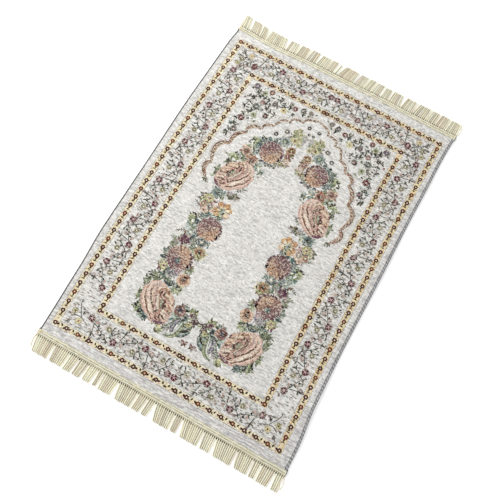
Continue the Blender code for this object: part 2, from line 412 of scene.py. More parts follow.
class Weave:
    """The woven surface that ground and figures share: rows of short floats along the weft."""

    def __init__(self, finish, sizes):
        self.x = finish.add("ShaderNodeSeparateXYZ", None, {0: finish.place()})
        self.y = self.x.other("Y")
        rows = self.y / sizes.weft_pitch
        self.row = finish.math("FLOOR", rows)
        self.pick = finish.math("FLOOR", rows / PICK_ROWS)
        floats = self.x / sizes.float_length + self.row * ROW_SHIFT
        column = finish.math("FLOOR", floats)
        cell = finish.add("ShaderNodeCombineXYZ", None, {0: column, 1: self.row})
        self.cell = finish.add("ShaderNodeTexWhiteNoise", {"noise_dimensions": "2D"}, {"Vector": cell})
        split = finish.add("ShaderNodeSeparateColor", None, {0: self.cell.other("Color")})
        self.cell_two = split.other("Green")
        self.cell_three = split.other("Blue")
        up = rows - self.row
        along = floats - column
        arch = up * (1.0 - up) * 4.0
        pillow = finish.math("MINIMUM", along * (1.0 - along) * 9.0, 1.0)
        self.height = arch * (pillow * 0.6 + 0.4)

    def grain_and_dip_shade(self):
        """How bright a thread is: darker where it dips, as painted shade, and a little different from float
        to float.
        """
        return self.height * 0.16 + self.cell_three * 0.2 + 0.8


# flecks of the ground, each over the one before: colour, rows that it follows, length in metres, seed,
# noise where it starts and where it is full, strength
FLECKS = (
    # highlight: painted highlights, bright dashes over the ground's threads
    ("highlight", "pick", 0.011, 2.6, 0.55, 0.59, 0.75),
    ("cool_fleck", "pick", 0.012, 1.3, 0.54, 0.60, 0.48),
    ("warm_fleck", "row", 0.006, 7.9, 0.60, 0.64, 0.6),
    ("margin", "row", 0.034, 4.1, 0.53, 0.57, 0.5),
)
# in metres from the middle, where the streaky margin starts and where it is full
MARGIN_ACROSS = (0.318, 0.322)
MARGIN_ALONG = (0.470, 0.474)
MARGIN_SHADE_SLANT = (-0.4, 0.5)  # the streaks gather towards the near right corner, as painted shade


def ground_colour(finish, weave, colours):
    """The ground: pale yarn with cool and warm dashes, streakier and more lilac in the margins."""
    across = finish.ramp(finish.math("ABSOLUTE", weave.x), *MARGIN_ACROSS)
    along = finish.ramp(finish.math("ABSOLUTE", weave.y), *MARGIN_ALONG)
    # the lilac streaks are real; their gathering towards the near right corner is painted shade
    margin = finish.math("MAXIMUM", across, along) * finish.ramp(weave.x - weave.y, *MARGIN_SHADE_SLANT)
    colour = colours.ground[:]
    for name, row, length, seed, low, high, strength in FLECKS:
        share = finish.ramp(finish.dashes(weave.x, getattr(weave, row), length, seed), low, high) * strength
        if name == "margin":
            share = share * margin
        colour = finish.colour_mix(share, colour, getattr(colours, name)[:])
    return finish.shaded(colour, weave.grain_and_dip_shade())


def weave_finish(finish, weave, colour):
    """Gives the woven surface its colour and the relief of its floats."""
    finish.shade({"Base Color": colour})
    finish.bump(weave.height + weave.cell_three * 0.5, 0.55, 0.35 * MM)
    return finish.material


def cloth_finish(name, sizes, colours):
    """The plain ground weave."""
    finish = Finish(name, 0.92, 0.12)
    weave = Weave(finish, sizes)
    return weave_finish(finish, weave, ground_colour(finish, weave, colours))


# which floats of a figure are pale or dark, and how strongly, and how far its hold reaches at the rim
PALE_FROM = 0.8
PALE_STRENGTH = 0.46
DARK_BELOW = 0.17
DARK_STRENGTH = 0.52
HOLD_REACH = 1.6


def figure_finish(name, sizes, colours):
    """Figure yarn in the ground weave: its tint is broken into floats, and at its rim, where the hold
    is weak, the ground shows between them."""
    finish = Finish(name, 0.9, 0.1)
    weave = Weave(finish, sizes)
    hold = finish.attribute("hold", "Fac")
    pale = weave.cell_two > finish.math("MAXIMUM", hold, 1.0) * PALE_FROM
    dark = weave.cell_two < DARK_BELOW
    colour = finish.colour_mix(pale * PALE_STRENGTH, finish.attribute("tint", "Color"), yarn("cream"))
    colour = finish.colour_mix(dark * DARK_STRENGTH, colour, yarn("ink+umber"))
    colour = finish.shaded(colour, weave.grain_and_dip_shade())
    kept = weave.cell < hold * HOLD_REACH
    colour = finish.colour_mix(kept, ground_colour(finish, weave, colours), colour)
    return weave_finish(finish, weave, colour)


def yarn_finish(name, roughness, fuzz):
    """Loose yarn: the tint stored on the mesh, made lighter and darker by fine and broad noise, with fine
    fibres.
    """
    finish = Finish(name, roughness, 0.25)
    spot = finish.place()
    fine = finish.noise(spot, fuzz)
    broad = finish.noise(spot, fuzz * 0.06)
    light = fine * 0.34 + broad * 0.22 + 0.72
    finish.shade({"Base Color": finish.shaded(finish.attribute("tint", "Color"), light)})
    finish.bump(fine, 0.4, 0.2 * MM)
    return finish.material


# ---- geometry trees


class Builder(Kit):
    """A Geometry Nodes tree with named inputs."""

    def __init__(self, name, inputs):
        super().__init__(bpy.data.node_groups.new(name, "GeometryNodeTree"))
        self.keys = {}
        for label, kind in {"Geometry": "Geometry", **inputs, "Material": "Material"}.items():
            self.keys[label] = self.socket(label, kind, "INPUT")
        self.socket("Geometry", "Geometry", "OUTPUT")
        self.given = self.add("NodeGroupInput")

    def __getitem__(self, label):
        return self.given.other(label)

    def socket(self, label, kind, way):
        """Adds an input or output to the tree and returns its identifier."""
        socket_type = f"NodeSocket{kind}"
        return self.tree.interface.new_socket(label, in_out=way, socket_type=socket_type).identifier

    def close(self, geometry):
        """Ends the tree in real geometry with its material."""
        real = self.add("GeometryNodeRealizeInstances", None, {"Geometry": geometry})
        done = self.add("GeometryNodeSetMaterial", None, {"Geometry": real, "Material": self["Material"]})
        self.fill(self.tree.nodes.new("NodeGroupOutput"), {"Geometry": done})

    def named(self, kind, name):
        """A named attribute of the geometry."""
        return self.add("GeometryNodeInputNamedAttribute", {"data_type": kind}, {"Name": name})

    def run(self, source, values):
        """Applies the tree to an object and returns the result as a plain mesh."""
        modifier = source.modifiers.new(self.tree.name, "NODES")
        modifier.node_group = self.tree
        for label, value in values.items():
            modifier[self.keys[label]] = value
        mesh = plain_mesh(source)
        source.modifiers.remove(modifier)
        return mesh


def repeat_tree():
    """Puts a motif on every point, turned as the point says, each a little different in size."""
    kit = Builder("repeat_on_points", {"Motif": "Object", "Unevenness": "Float", "Seed": "Int"})
    scale = kit.add("FunctionNodeRandomValue", {"data_type": "FLOAT"}, {
        2: 1.0 - kit["Unevenness"], 3: 1.0 + kit["Unevenness"], "Seed": kit["Seed"]}, 1)
    motif = kit.add("GeometryNodeObjectInfo", None, {"Object": kit["Motif"]}, "Geometry")
    turn = kit.add("FunctionNodeEulerToRotation", None, {0: kit.named("FLOAT_VECTOR", "turn")})
    kit.close(kit.add("GeometryNodeInstanceOnPoints", None, {
        "Points": kit["Geometry"], "Instance": motif, "Rotation": turn, "Scale": scale}))
    return kit


def cord_tree():
    """Turns every line of points into a two-ply twisted cord."""
    kit = Builder("twisted_cord", {
        "Radius": "Float", "Ply Depth": "Float", "Pitch": "Float", "Step": "Float", "Sides": "Int"})
    line = kit.add("GeometryNodeMeshToCurve", None, {"Mesh": kit["Geometry"]})
    line = kit.add("GeometryNodeResampleCurve", {"mode": "LENGTH"}, {"Curve": line, "Length": kit["Step"]})
    line = kit.add("GeometryNodeSetCurveNormal", {"mode": "Z_UP"}, {"Curve": line})
    travelled = kit.add("GeometryNodeSplineParameter", None, None, "Length")
    tilt = travelled / kit["Pitch"] * math.tau + kit.named("FLOAT", "phase")
    line = kit.add("GeometryNodeSetCurveTilt", None, {"Curve": line, "Tilt": tilt})
    ring = kit.add("GeometryNodeCurvePrimitiveCircle", {"mode": "RADIUS"}, {
        "Resolution": kit["Sides"], "Radius": kit["Radius"]})
    angle = kit.add("GeometryNodeInputIndex") / kit["Sides"] * (2.0 * math.tau)
    grow = kit.math("COSINE", angle) * kit["Ply Depth"] + 1.0
    moved = kit.add("ShaderNodeVectorMath", {"operation": "SCALE"}, {
        "Vector": kit.add("GeometryNodeInputPosition"), "Scale": grow})
    ring = kit.add("GeometryNodeSetPosition", None, {"Geometry": ring, "Position": moved})
    kit.close(kit.add("GeometryNodeCurveToMesh", None, {
        "Curve": line, "Profile Curve": ring, "Scale": kit.named("FLOAT", "swell"), "Fill Caps": True}))
    return kit


# ---- meshes


def new_piece(name, mesh, finish=None):
    """Links a mesh to the scene as a piece."""
    mesh.name = name
    if finish is not None:
        mesh.materials.clear()
        mesh.materials.append(finish)
    piece = bpy.data.objects.new(name, mesh)
    bpy.context.scene.collection.objects.link(piece)
    return piece


# how a mesh keeps the values that aren't plain numbers: kind of attribute, field
STORED = {"tint": ("FLOAT_COLOR", "color"), "turn": ("FLOAT_VECTOR", "vector")}


def new_mesh(name, points, edges=(), faces=(), **stored):
    """A mesh of its points, lines or faces, with a value for every point under each given name."""
    mesh = bpy.data.meshes.new(name)
    mesh.from_pydata([tuple(point) for point in points], list(edges), list(faces))
    for key, values in stored.items():
        store(mesh, key, values)
    return mesh


def store(mesh, name, values):
    """Stores a value for every point of a mesh."""
    kind, field = STORED.get(name, ("FLOAT", "value"))
    if name == "tint":
        values = [(*tint, 1.0) for tint in values]
    if name in STORED:
        values = [number for value in values for number in value]
    mesh.attributes.new(name, kind, "POINT").data.foreach_set(field, values)


def give_map(mesh, spots):
    """Gives a mesh its own bake map: a spot for every corner of its faces."""
    layer = mesh.uv_layers.new(name="OFBake")
    layer.data.foreach_set("uv", [value for spot in spots for value in spot])


def map_from_above(mesh):
    """Maps a mesh as a plain view from above that fills the square."""
    points = [vert.co for vert in mesh.vertices]
    low = [min(point[axis] for point in points) for axis in (0, 1)]
    span = [max(point[axis] for point in points) - low[axis] for axis in (0, 1)]
    corners = (points[loop.vertex_index] for loop in mesh.loops)
    give_map(mesh, [[(point[axis] - low[axis]) / span[axis] for axis in (0, 1)] for point in corners])


def plain_mesh(source):
    """What an object looks like, as a mesh of its own."""
    graph = bpy.context.evaluated_depsgraph_get()
    return bpy.data.meshes.new_from_object(source.evaluated_get(graph), depsgraph=graph)


def drop(*objects):
    """Removes helpers from the scene."""
    for helper in objects:
        bpy.data.objects.remove(helper, do_unlink=True)


def tube(name, paths, radius):
    """Round threads through lists of points in millimetres, as one mesh."""
    curve = bpy.data.curves.new(name, "CURVE")
    curve.dimensions = "3D"
    curve.bevel_depth = radius * MM
    curve.bevel_resolution = 1
    curve.use_fill_caps = True
    for path in paths:
        spline = curve.splines.new("POLY")
        spline.points.add(len(path) - 1)
        for spot, point in zip(path, spline.points):
            point.co = (*Vector(spot) * MM, 1.0)
    source = bpy.data.objects.new(name, curve)
    bpy.context.scene.collection.objects.link(source)
    mesh = plain_mesh(source)
    drop(source)
    return mesh


def repeated(name, motif, finish, unevenness, seed, spots, **stored):
    """Repeats a motif over points, with what is stored for them, and returns the mesh."""
    source = new_piece(f"{name}_source", new_mesh(f"{name}_points", spots, **stored))
    helper = new_piece(f"{name}_motif", motif)
    mesh = repeat_tree().run(source, {
        "Motif": helper, "Unevenness": unevenness, "Seed": seed, "Material": finish})
    drop(source, helper)
    return mesh


def joined(name, meshes, finish):
    """Several meshes as one piece of one material, with its bake map."""
    pieces = [new_piece(f"{name}_{index}", mesh) for index, mesh in enumerate(meshes)]
    with bpy.context.temp_override(active_object=pieces[0], selected_editable_objects=pieces):
        bpy.ops.object.join()
    piece = pieces[0]
    piece.name = piece.data.name = name
    piece.data.materials.clear()
    piece.data.materials.append(finish)
    map_from_above(piece.data)
    return piece


# ---- drawing on the cloth


class Place:
    """A spot to draw at: where, how far turned, and how large each way."""

    def __init__(self, x=0.0, y=0.0, turn=0.0, wide=1.0, tall=None):
        self.x, self.y, self.turn = x, y, turn
        self.wide = wide
        self.tall = wide if tall is None else tall

    def at(self, x, y):
        """A point of this place on the pattern."""
        x, y = x * self.wide, y * self.tall
        cos, sin = math.cos(self.turn), math.sin(self.turn)
        return self.x + x * cos - y * sin, self.y + x * sin + y * cos

    def polar(self, reach, angle):
        """A point at a distance and an angle from this place's middle."""
        return self.at(reach * math.cos(angle), reach * math.sin(angle))

    def within(self, x, y, turn=0.0, size=1.0):
        """A smaller place inside this one."""
        here = self.at(x, y)
        sense = 1.0 if self.wide * self.tall > 0.0 else -1.0
        return Place(*here, self.turn + sense * turn, self.wide * size, self.tall * size)


class Drawing:
    """Patches of figure yarn on the flat cloth, each a little above the one below it."""

    LEVEL = 0.05  # from one level to the next
    SLIVER = 0.004  # from one patch to the next on its level
    SLIVERS = 12

    def __init__(self):
        self.spots, self.tints, self.holds, self.faces = [], [], [], []
        self.patches = 0
        self.mirrored(RIGHT)

    def mirrored(self, side, end=FAR):
        """Draws on a half of the pattern."""
        self.side, self.end = side, end

    def points(self, rows, level):
        """Adds rows of (x, y, tint, hold) as a patch on a level and returns the points' numbers."""
        self.patches += 1
        height = level * self.LEVEL + self.patches % self.SLIVERS * self.SLIVER
        numbers = []
        for row in rows:
            numbers.append(range(len(self.spots), len(self.spots) + len(row)))
            for x, y, tint, hold in row:
                self.spots.append((x * self.side, y * self.end, height))
                self.tints.append(tint)
                self.holds.append(hold)
        return numbers

    def face(self, *corners):
        """Adds a face, turned so that it looks up."""
        area = 0.0
        for here, after in zip(corners, corners[1:] + corners[:1]):
            first, second = self.spots[here], self.spots[after]
            area += first[0] * second[1] - second[0] * first[1]
        self.faces.append(corners if area > 0.0 else corners[::-1])

    def grid(self, rows, level):
        """A patch through rows of points."""
        numbers = self.points(rows, level)
        for low, high in zip(numbers, numbers[1:]):
            for index in range(len(low) - 1):
                self.face(low[index], low[index + 1], high[index + 1], high[index])

    def rings(self, hub, rings, level):
        """A round patch: a hub point and closed rings of points about it."""
        (middle,), *loops = self.points([[hub], *rings], level)
        count = len(loops[0])
        for index in range(count):
            after = (index + 1) % count
            self.face(middle, loops[0][index], loops[0][after])
            for low, high in zip(loops, loops[1:]):
                self.face(low[index], high[index], high[after], low[after])

    def mesh(self, name, spots, firm=1.0):
        """The patches as a mesh through the given places of their points."""
        holds = [hold * firm for hold in self.holds]
        return new_mesh(name, spots, faces=self.faces, tint=self.tints, hold=holds)

    def laid_mesh(self, name, base):
        """The patches laid on the cloth."""
        top = CLOTH_THICKNESS + base
        return self.mesh(name, [laid(u, v, top + height) for u, v, height in self.spots])

    def flat_mesh(self, name):
        """The patches as a small flat motif about the origin, in metres."""
        return self.mesh(name, [Vector(spot) * MM for spot in self.spots], MOTIF_HOLD)


RIM_HOLD = 0.36  # at a figure's outline
FULL_HOLD = 1.0
MOTIF_HOLD = 1.25  # how much firmer the small repeated motifs are


def even(low, high, count):
    """count + 1 values from low to high."""
    return [low + (high - low) * index / count for index in range(count + 1)]


def smooth_path(points, spans=4):
    """Points along a smooth curve through the given ones."""
    found = []
    for index in range(len(points) - 1):
        before = points[max(index - 1, 0)]
        here, there = points[index], points[index + 1]
        after = points[min(index + 2, len(points) - 1)]
        for step in range(spans):
            t = step / spans
            found.append(tuple(
                0.5 * (2 * b + (c - a) * t + (2 * a - 5 * b + 4 * c - d) * t * t
                       + (3 * b - a - 3 * c + d) * t ** 3)
                for a, b, c, d in zip(before, here, there, after)))
    found.append(tuple(points[-1]))
    return found


def band(draw, path, half_at, tints, hold, level):
    """Yarn along a path: its half width at a step of the path, and a tint for each step across it."""
    rows = []
    last = len(path) - 1
    for index, (x, y) in enumerate(path):
        before, after = path[max(index - 1, 0)], path[min(index + 1, last)]
        dx, dy = after[0] - before[0], after[1] - before[1]
        reach = half_at(index, last) / (math.hypot(dx, dy) or 1.0)
        sides = even(-1.0, 1.0, len(tints) - 1)
        rows.append([(x - dy * reach * side, y + dx * reach * side, tint, hold)
                     for side, tint in zip(sides, tints)])
    draw.grid(rows, level)


RIBBON_END = 0.55  # a line's width at its ends, as a share of its width


def ribbon(draw, path, width, tint, level, hold=0.62):
    """A line of yarn of even width along a path, narrowing at its ends."""
    def half(index, last):
        return 0.5 * width * (RIBBON_END if index in (0, last) else 1.0)

    band(draw, path, half, [tint] * 3, hold, level)


# steps across a leaf, each with its light
NARROW_LEAF = ((-1.0, 1.15), (0.0, 0.75), (1.0, 0.85))
BROAD_LEAF = ((-1.0, 1.12), (-0.45, 1.2), (0.0, 0.6), (0.45, 0.86), (1.0, 0.78))
BROAD_FROM = 4.5  # width
LONG_FROM = 9.5  # length


def leaf(draw, place, length, width, tint, level, bend=0.0, hold=0.5):
    """A leaf that starts at the place and points along its Y: one half light, one dark, and a vein."""
    rows = []
    for t in even(0.0, 1.0, 3 if length < LONG_FROM else 5):
        half = 0.5 * width * math.sin(math.pi * (0.1 + 0.84 * t) ** 0.85) ** 0.7
        row = []
        for across, light in BROAD_LEAF if width > BROAD_FROM else NARROW_LEAF:
            rim = abs(across) == 1.0 or t == 1.0
            spot = place.at(across * half + bend * length * t * t, length * t)
            row.append((*spot, dimmed(tint, light), hold if rim else FULL_HOLD))
        rows.append(row)
    draw.grid(rows, level)


def swath(draw, place, points, half, names, level, ruffle=0.0):
    """A broad band of yarn along a curve, with a tint for each step from its right hand to its left."""
    def half_at(index, last):
        return half * place.wide * math.sin(math.pi * (0.12 + 0.8 * index / last)) ** 0.6

    path = [place.at(x + ruffle * math.sin(0.15 * y), y + ruffle * math.sin(0.13 * x))
            for x, y in smooth_path(points)]
    band(draw, path, half_at, yarns(names), FULL_HOLD, level)


LEAF_ANGLE = 2.4  # from one leaf of a tuft to the next
PETAL_POINTS = 4  # points at the rim of each petal of a rosette
# the dark yarn under a blossom and its eye, as shares of its radius
BLOSSOM_BACK = 0.92
BLOSSOM_EYE = 0.28


def tuft(draw, place, count, names, level, length=9.0, hold=0.5, backing=0.0):
    """Leaves that fill an oval, pointing outwards, on loose yarn of their mean tint."""
    draws = random.Random(int(place.x * 7.0 + place.y))
    tints = yarns(names)
    if backing > 0.0:
        mean = tuple(sum(values) / len(tints) for values in zip(*tints))
        rosette(draw, place, 1.0, 5, 0.2, [mean] * 3, level - 0.4, backing)
    for index in range(count):
        angle = index * LEAF_ANGLE + place.x
        spot = place.polar(math.sqrt((index + 0.2) / count), angle)
        tint = dimmed(tints[index % len(tints)], draws.uniform(0.95, 1.6))
        size = length * draws.uniform(0.75, 1.15)
        turn = angle - math.pi / 2 + draws.uniform(-1.0, 1.0)
        root = Place(*spot, turn).at(0.0, -0.3 * size)
        leaf(draw, Place(*root, turn), size, size * 0.5, tint, level + index % 3 * 0.3, 0.0, hold)


def fan(draw, place, length, count, spread, tint, level):
    """Leaves that spread from one spot."""
    for index in range(count):
        share = 0.0 if count == 1 else index / (count - 1) - 0.5
        one = place.within(0.0, 0.0, -share * spread)
        reach = length * (1.0 - 0.5 * abs(share))
        shade = dimmed(tint, (1.0, 0.8, 1.14)[index % 3])
        leaf(draw, one, reach, length * 0.34, shade, level, 0.12 * (1 if share < 0 else -1))


def sprig(draw, place, length, pairs, tint, level):
    """A thin stem with small leaves on both sides and one at its tip."""
    bend = 0.12 * length
    path = [place.at(bend * t * t, length * t) for t in even(0.0, 1.0, 5)]
    ribbon(draw, path, 1.3, tint, level)
    size = length * 0.30
    for index in range(pairs):
        share = 0.25 + 0.6 * index / max(pairs - 1, 1)
        for side in (-1.0, 1.0):
            spot = place.within(bend * share * share, length * share, -side * 0.85)
            shade = dimmed(tint, 1.0 + 0.15 * side)
            leaf(draw, spot, size * (1.1 - 0.3 * share), size * 0.42, shade, level)
    leaf(draw, place.within(bend, length), size, size * 0.45, tint, level)


def rosette(draw, place, radius, petals, notch, tints, level, hold=RIM_HOLD):
    """A flower seen from above: tints from its centre to its rim, and a rim of rounded petals."""
    count = petals * PETAL_POINTS
    rings = []
    for share, tint in zip(even(0.0, 1.0, len(tints) - 1)[1:], tints[1:]):
        ring = []
        for index in range(count):
            angle = math.tau * index / count
            lobe = abs(math.sin(petals * angle * 0.5)) ** 0.7
            reach = radius * share * (1.0 - notch * share * (1.0 - lobe))
            shade = dimmed(tint, 0.72 + 0.34 * lobe) if share > 0.4 else tint
            ring.append((*place.polar(reach, angle), shade, hold if share == 1.0 else FULL_HOLD))
        rings.append(ring)
    draw.rings((place.x, place.y, tints[0], FULL_HOLD), rings, level)


def blossom(draw, place, radius, petals, centre, middle, rim, level, backed=True):
    """A small flower of separate petals, as a rule on dark yarn that shows between them."""
    spot = Place(place.x, place.y, place.turn, radius)
    edge, body, eye = yarn(rim), yarn(middle), yarn(centre)
    if backed:
        rosette(draw, spot, BLOSSOM_BACK, petals, 0.2, [dimmed(edge, 0.5)] * 3, level)
    tints = [dimmed(body, 0.7), body, edge, mixed(edge, yarn("cream"), 0.12)]
    for index in range(petals):
        petal(draw, spot, math.tau * index / petals, math.pi / petals * 0.96, 0.2, 1.0, tints, level + 0.7,
              0.16, 2, 0.7)
    rosette(draw, spot, BLOSSOM_EYE, 5, 0.2, [eye] * 3, level + 1.5, FULL_HOLD)


def petal(draw, place, turn, spread, inner, outer, tints, level, blunt=0.3, columns=4, rim_hold=RIM_HOLD):
    """A petal of a ring: from an inner radius to a rounded rim, with a tint for each step outwards."""
    rows = []
    last = len(tints) - 1
    for index, tint in enumerate(tints):
        t = index / last
        row = []
        for s in even(-1.0, 1.0, columns):
            reach = inner + (outer * (1.0 - blunt * abs(s) ** 2.2) - inner) * t
            angle = turn + spread * s * (0.72 + 0.28 * t)
            shade = dimmed(tint, 1.0 - 0.2 * s * s - 0.08 * s)
            row.append((*place.polar(reach, angle), shade, rim_hold if index == last else FULL_HOLD))
        rows.append(row)
    draw.grid(rows, level)


# a rose's outline, and its folds from the lowest to the highest: half width, yarns from the right hand
# of the path to its left, points of the path; all in hundredths of the rose's size
ROSE_OUTLINE = (
    (-60, 103), (-36, 106), (-8, 103), (14, 88), (40, 76), (66, 58), (83, 38), (93, 12), (98, -18),
    (103, -54), (92, -80), (64, -96), (36, -106), (2, -99), (-38, -76), (-72, -48), (-90, -18),
    (-99, 14), (-98, 44), (-82, 82),
)
ROSE_FOLDS = (
    (19, "salmon salmon+petal petal salmon tan", ((-97, 40), (-78, -8), (-44, -50), (20, -92))),
    (15, "salmon petal salmon+cream salmon clay", ((-80, 58), (-58, 10), (-26, -26), (18, -66))),
    (13, "tan petal salmon mauve+petal clay", ((-56, 60), (-38, 20), (-12, -14), (26, -52))),
    (4, "umber cocoa", ((-90, 26), (-74, -6), (-36, -48), (6, -79), (28, -92))),
    (4, "umber umber", ((-68, 48), (-56, 24), (-36, -6), (-8, -28), (18, -58))),
    (3, "umber wine", ((-24, 54), (-16, 30), (-2, 4), (12, -18), (24, -38))),
    (4, "cream petal", ((-46, -18), (-18, -38), (-2, -48))),
    (10, "umber petal mist+petal petal+moss cocoa", ((-20, 44), (-4, 10), (12, -14), (30, -38))),
    (14, "mauve+petal smoke+petal petal salmon", ((-84, 56), (-68, 82), (-44, 100))),
    (11, "violet+petal mauve+petal petal tan", ((-58, 50), (-50, 72), (-34, 98))),
    (10, "umber tan petal+cream tan", ((-34, 52), (-26, 74), (-8, 98))),
    (14, "cocoa tan tan+petal cocoa+petal", ((-6, 92), (22, 76), (46, 62), (68, 46))),
    (12, "umber tan tan+cream petal tan", ((4, 54), (28, 56), (50, 48), (68, 34))),
    (5, "umber ink+umber", ((-8, 70), (-14, 52), (-6, 38))),
    (5, "ink+umber umber", ((6, 66), (5, 48), (20, 43))),
    (4, "umber umber", ((14, 84), (30, 70))),
    (5, "umber wine", ((70, 52), (79, 36), (66, 18))),
    (9, "clay petal peach+petal cocoa", ((56, 28), (72, 24), (88, 30))),
    (9, "cocoa peach+petal tan clay", ((56, 6), (74, 2), (92, 6))),
    (9, "umber petal salmon clay", ((54, -14), (76, -18), (95, -20))),
    (9, "umber petal petal+cream clay", ((44, -36), (70, -40), (98, -46))),
    (9, "umber salmon petal cocoa", ((34, -56), (60, -60), (94, -66))),
    (10, "clay petal salmon tan", ((10, -76), (34, -80), (54, -76))),
    (4, "umber ink+umber", ((76, -8), (94, -10))),
    (4, "umber ink+umber", ((58, -49), (86, -53))),
    (4, "umber umber", ((50, -40), (56, -70))),
    (11, "umber wine ink+wine umber", ((26, 30), (38, 12), (44, -6), (38, -20))),
    (7, "moss mist+moss fern", ((11, 27), (20, 10), (30, -8))),
    (6, "petal+cream peach", ((40, 22), (50, 16), (58, 4))),
    (5, "ink umber", ((46, 2), (42, -16))),
    (6, "cream peach+petal", ((48, -16), (56, -28))),
    (5, "ink+umber umber", ((26, -32), (17, -56))),
    (8, "plum mauve+plum plum", ((40, -90), (60, -94), (82, -82))),
    (5, "wine+plum plum", ((62, -78), (80, -76), (94, -64))),
    (4, "umber wine", ((30, -60), (40, -74), (56, -78))),
    (5, "petal cream", ((-62, -2), (-34, -34), (2, -66))),
)
# a rose's body: how far out a ring lies, its yarn and its hold
ROSE_RINGS = (
    (0.5, "salmon", FULL_HOLD),
    (0.88, "salmon+petal", FULL_HOLD),
    (1.0, "petal+salmon", RIM_HOLD),
)


def rose(draw, place, level):
    """A full rose seen from its side: long petals sweep past the heart, short ruffles close it."""
    place = place.within(0.0, 0.0, 0.0, 0.01)
    outline = smooth_path(ROSE_OUTLINE + ROSE_OUTLINE[:1], 2)[:-1]
    rings = [[(*place.at(x * share, y * share), yarn(name), hold) for x, y in outline]
             for share, name, hold in ROSE_RINGS]
    draw.rings((place.x, place.y, yarn("clay"), FULL_HOLD), rings, level)
    for number, (half, names, points) in enumerate(ROSE_FOLDS):
        swath(draw, place, points, half, names, level + 0.6 + 0.25 * number, 2.5)


# a dahlia's rings, from the outermost: petals, inner radius, outer radius
DAHLIA_RINGS = (
    (20, 0.62, 1.00),
    (17, 0.46, 0.82),
    (14, 0.30, 0.64),
    (10, 0.14, 0.46),
    (6, 0.02, 0.27),
)


def dahlia(draw, place, warm_turn, eye, level):
    """A full dahlia, mauve on one side and tan on the other, in the shade of dark leaves."""
    draws = random.Random(5)
    for index in range(5):
        turn = math.pi + warm_turn + (index - 2) * 0.42
        spot = Place(*place.polar(0.78, turn), turn - 1.2)
        tint = yarn(("navy+teal", "slate+mist", "teal")[index % 3])
        leaf(draw, spot, place.wide * 0.66, place.wide * 0.36, tint, level - 1)
    base = mixed(yarn("umber"), yarn("plum"), 0.5)
    rosette(draw, place, 0.99, 20, 0.04, [base] * 4, level)
    for ring, (count, inner, outer) in enumerate(DAHLIA_RINGS):
        for index in range(count):
            angle = math.tau * (index + 0.5 * (ring % 2)) / count
            facing = math.cos(angle - warm_turn)
            warm = smooth(-0.5, 0.8, 0.5 * (inner + outer) * facing + draws.uniform(-0.2, 0.2))
            cool = yarn("plum+mauve" if facing < -0.5 else "mauve")
            body = dimmed(mixed(cool, yarn("tan+peach"), warm), draws.uniform(0.85, 1.25))
            pale = mixed(body, yarn("petal"), 0.35 + 0.3 * warm)
            shades = [dimmed(base, 0.7), dimmed(body, 0.7), body, pale]
            petal(draw, place, angle + 0.1, math.pi / count * 0.86, inner, outer, shades, level + ring,
                  0.16, 2, 0.55 if ring == 0 else FULL_HOLD)
    if eye:
        tints = [yarn(name) for name in ("ink", "teal", eye)]
        rosette(draw, place.within(0.05, -0.25), 0.22, 6, 0.25, tints, level + 6, FULL_HOLD)


# turn, spread and reach of each petal, yarns from the throat to the rim
PANSY_PETALS = (
    (2.70, 0.46, 1.00, "cocoa straw cream peach gold"),
    (1.95, 0.44, 1.00, "rust straw peach amber gold"),
    (0.85, 0.56, 0.94, "cocoa straw amber tan amber"),
    (-0.35, 0.50, 0.92, "cocoa cream gold tan peach"),
    (-2.55, 0.44, 1.00, "umber cream straw petal gold"),
    (-1.05, 0.42, 0.95, "clay cream peach tan gold"),
)


def pansy(draw, place, level):
    """Broad peach petals about a green throat."""
    for number, (turn, spread, reach, names) in enumerate(PANSY_PETALS):
        petal(draw, place, turn, spread, 0.12, reach, yarns(names), level + 0.4 * number, 0.3, 4, 0.5)
        path = [place.polar(radius, turn + spread) for radius in (0.3, 0.6, 0.85)]
        ribbon(draw, path, 1.6, yarn("rust+umber"), level + 3, FULL_HOLD)
    throat = Place(*place.at(-0.02, -0.25), 0.0, 6.0, 12.0)
    tuft(draw, throat, 18, "mist lime fern ink moss", level + 3.4, 7.0)


# the drooping leaves of the foot of the garland: half width, yarns, points, in millimetres
FOOT_LEAVES = (
    (8.5, "ink teal mist teal slate", ((14, -320), (24, -334), (36, -342), (48, -340))),
    (6, "slate fern mist teal slate", ((18, -314), (30, -324), (44, -332))),
    (5, "ink fern mist cream teal", ((38, -310), (41, -332), (50, -350), (68, -360))),
    (4, "fern lime slate", ((34, -318), (36, -336), (44, -352), (58, -360))),
    (6, "navy violet smoke violet ink", ((48, -308), (55, -318), (56, -332), (53, -346))),
    (4, "slate mist fern ink", ((58, -318), (66, -334), (76, -342))),
    (2.6, "ink slate ink", ((32, -298), (40, -305), (50, -306), (58, -312))),
    (2.4, "ink ink", ((14, -318), (24, -330), (38, -334))),
)


# ---- the garland, right half

# across, along, turn, half width (below 0 for the mirror image), half length
ROSES = (
    (119, 96, 0, 45, 47.7),
    (120, -297, 0.12, -48, 46.5),
)
# across, along, radius, turn of the warm side, eye
DAHLIAS = (
    (68, 205, 34, 4, ""),
    (101, -67, 34.5, 4, ""),
    (128, -171, 36, 2.2, "teal"),
)
# across, along, radius
PANSIES = ((98, -5, 27),)

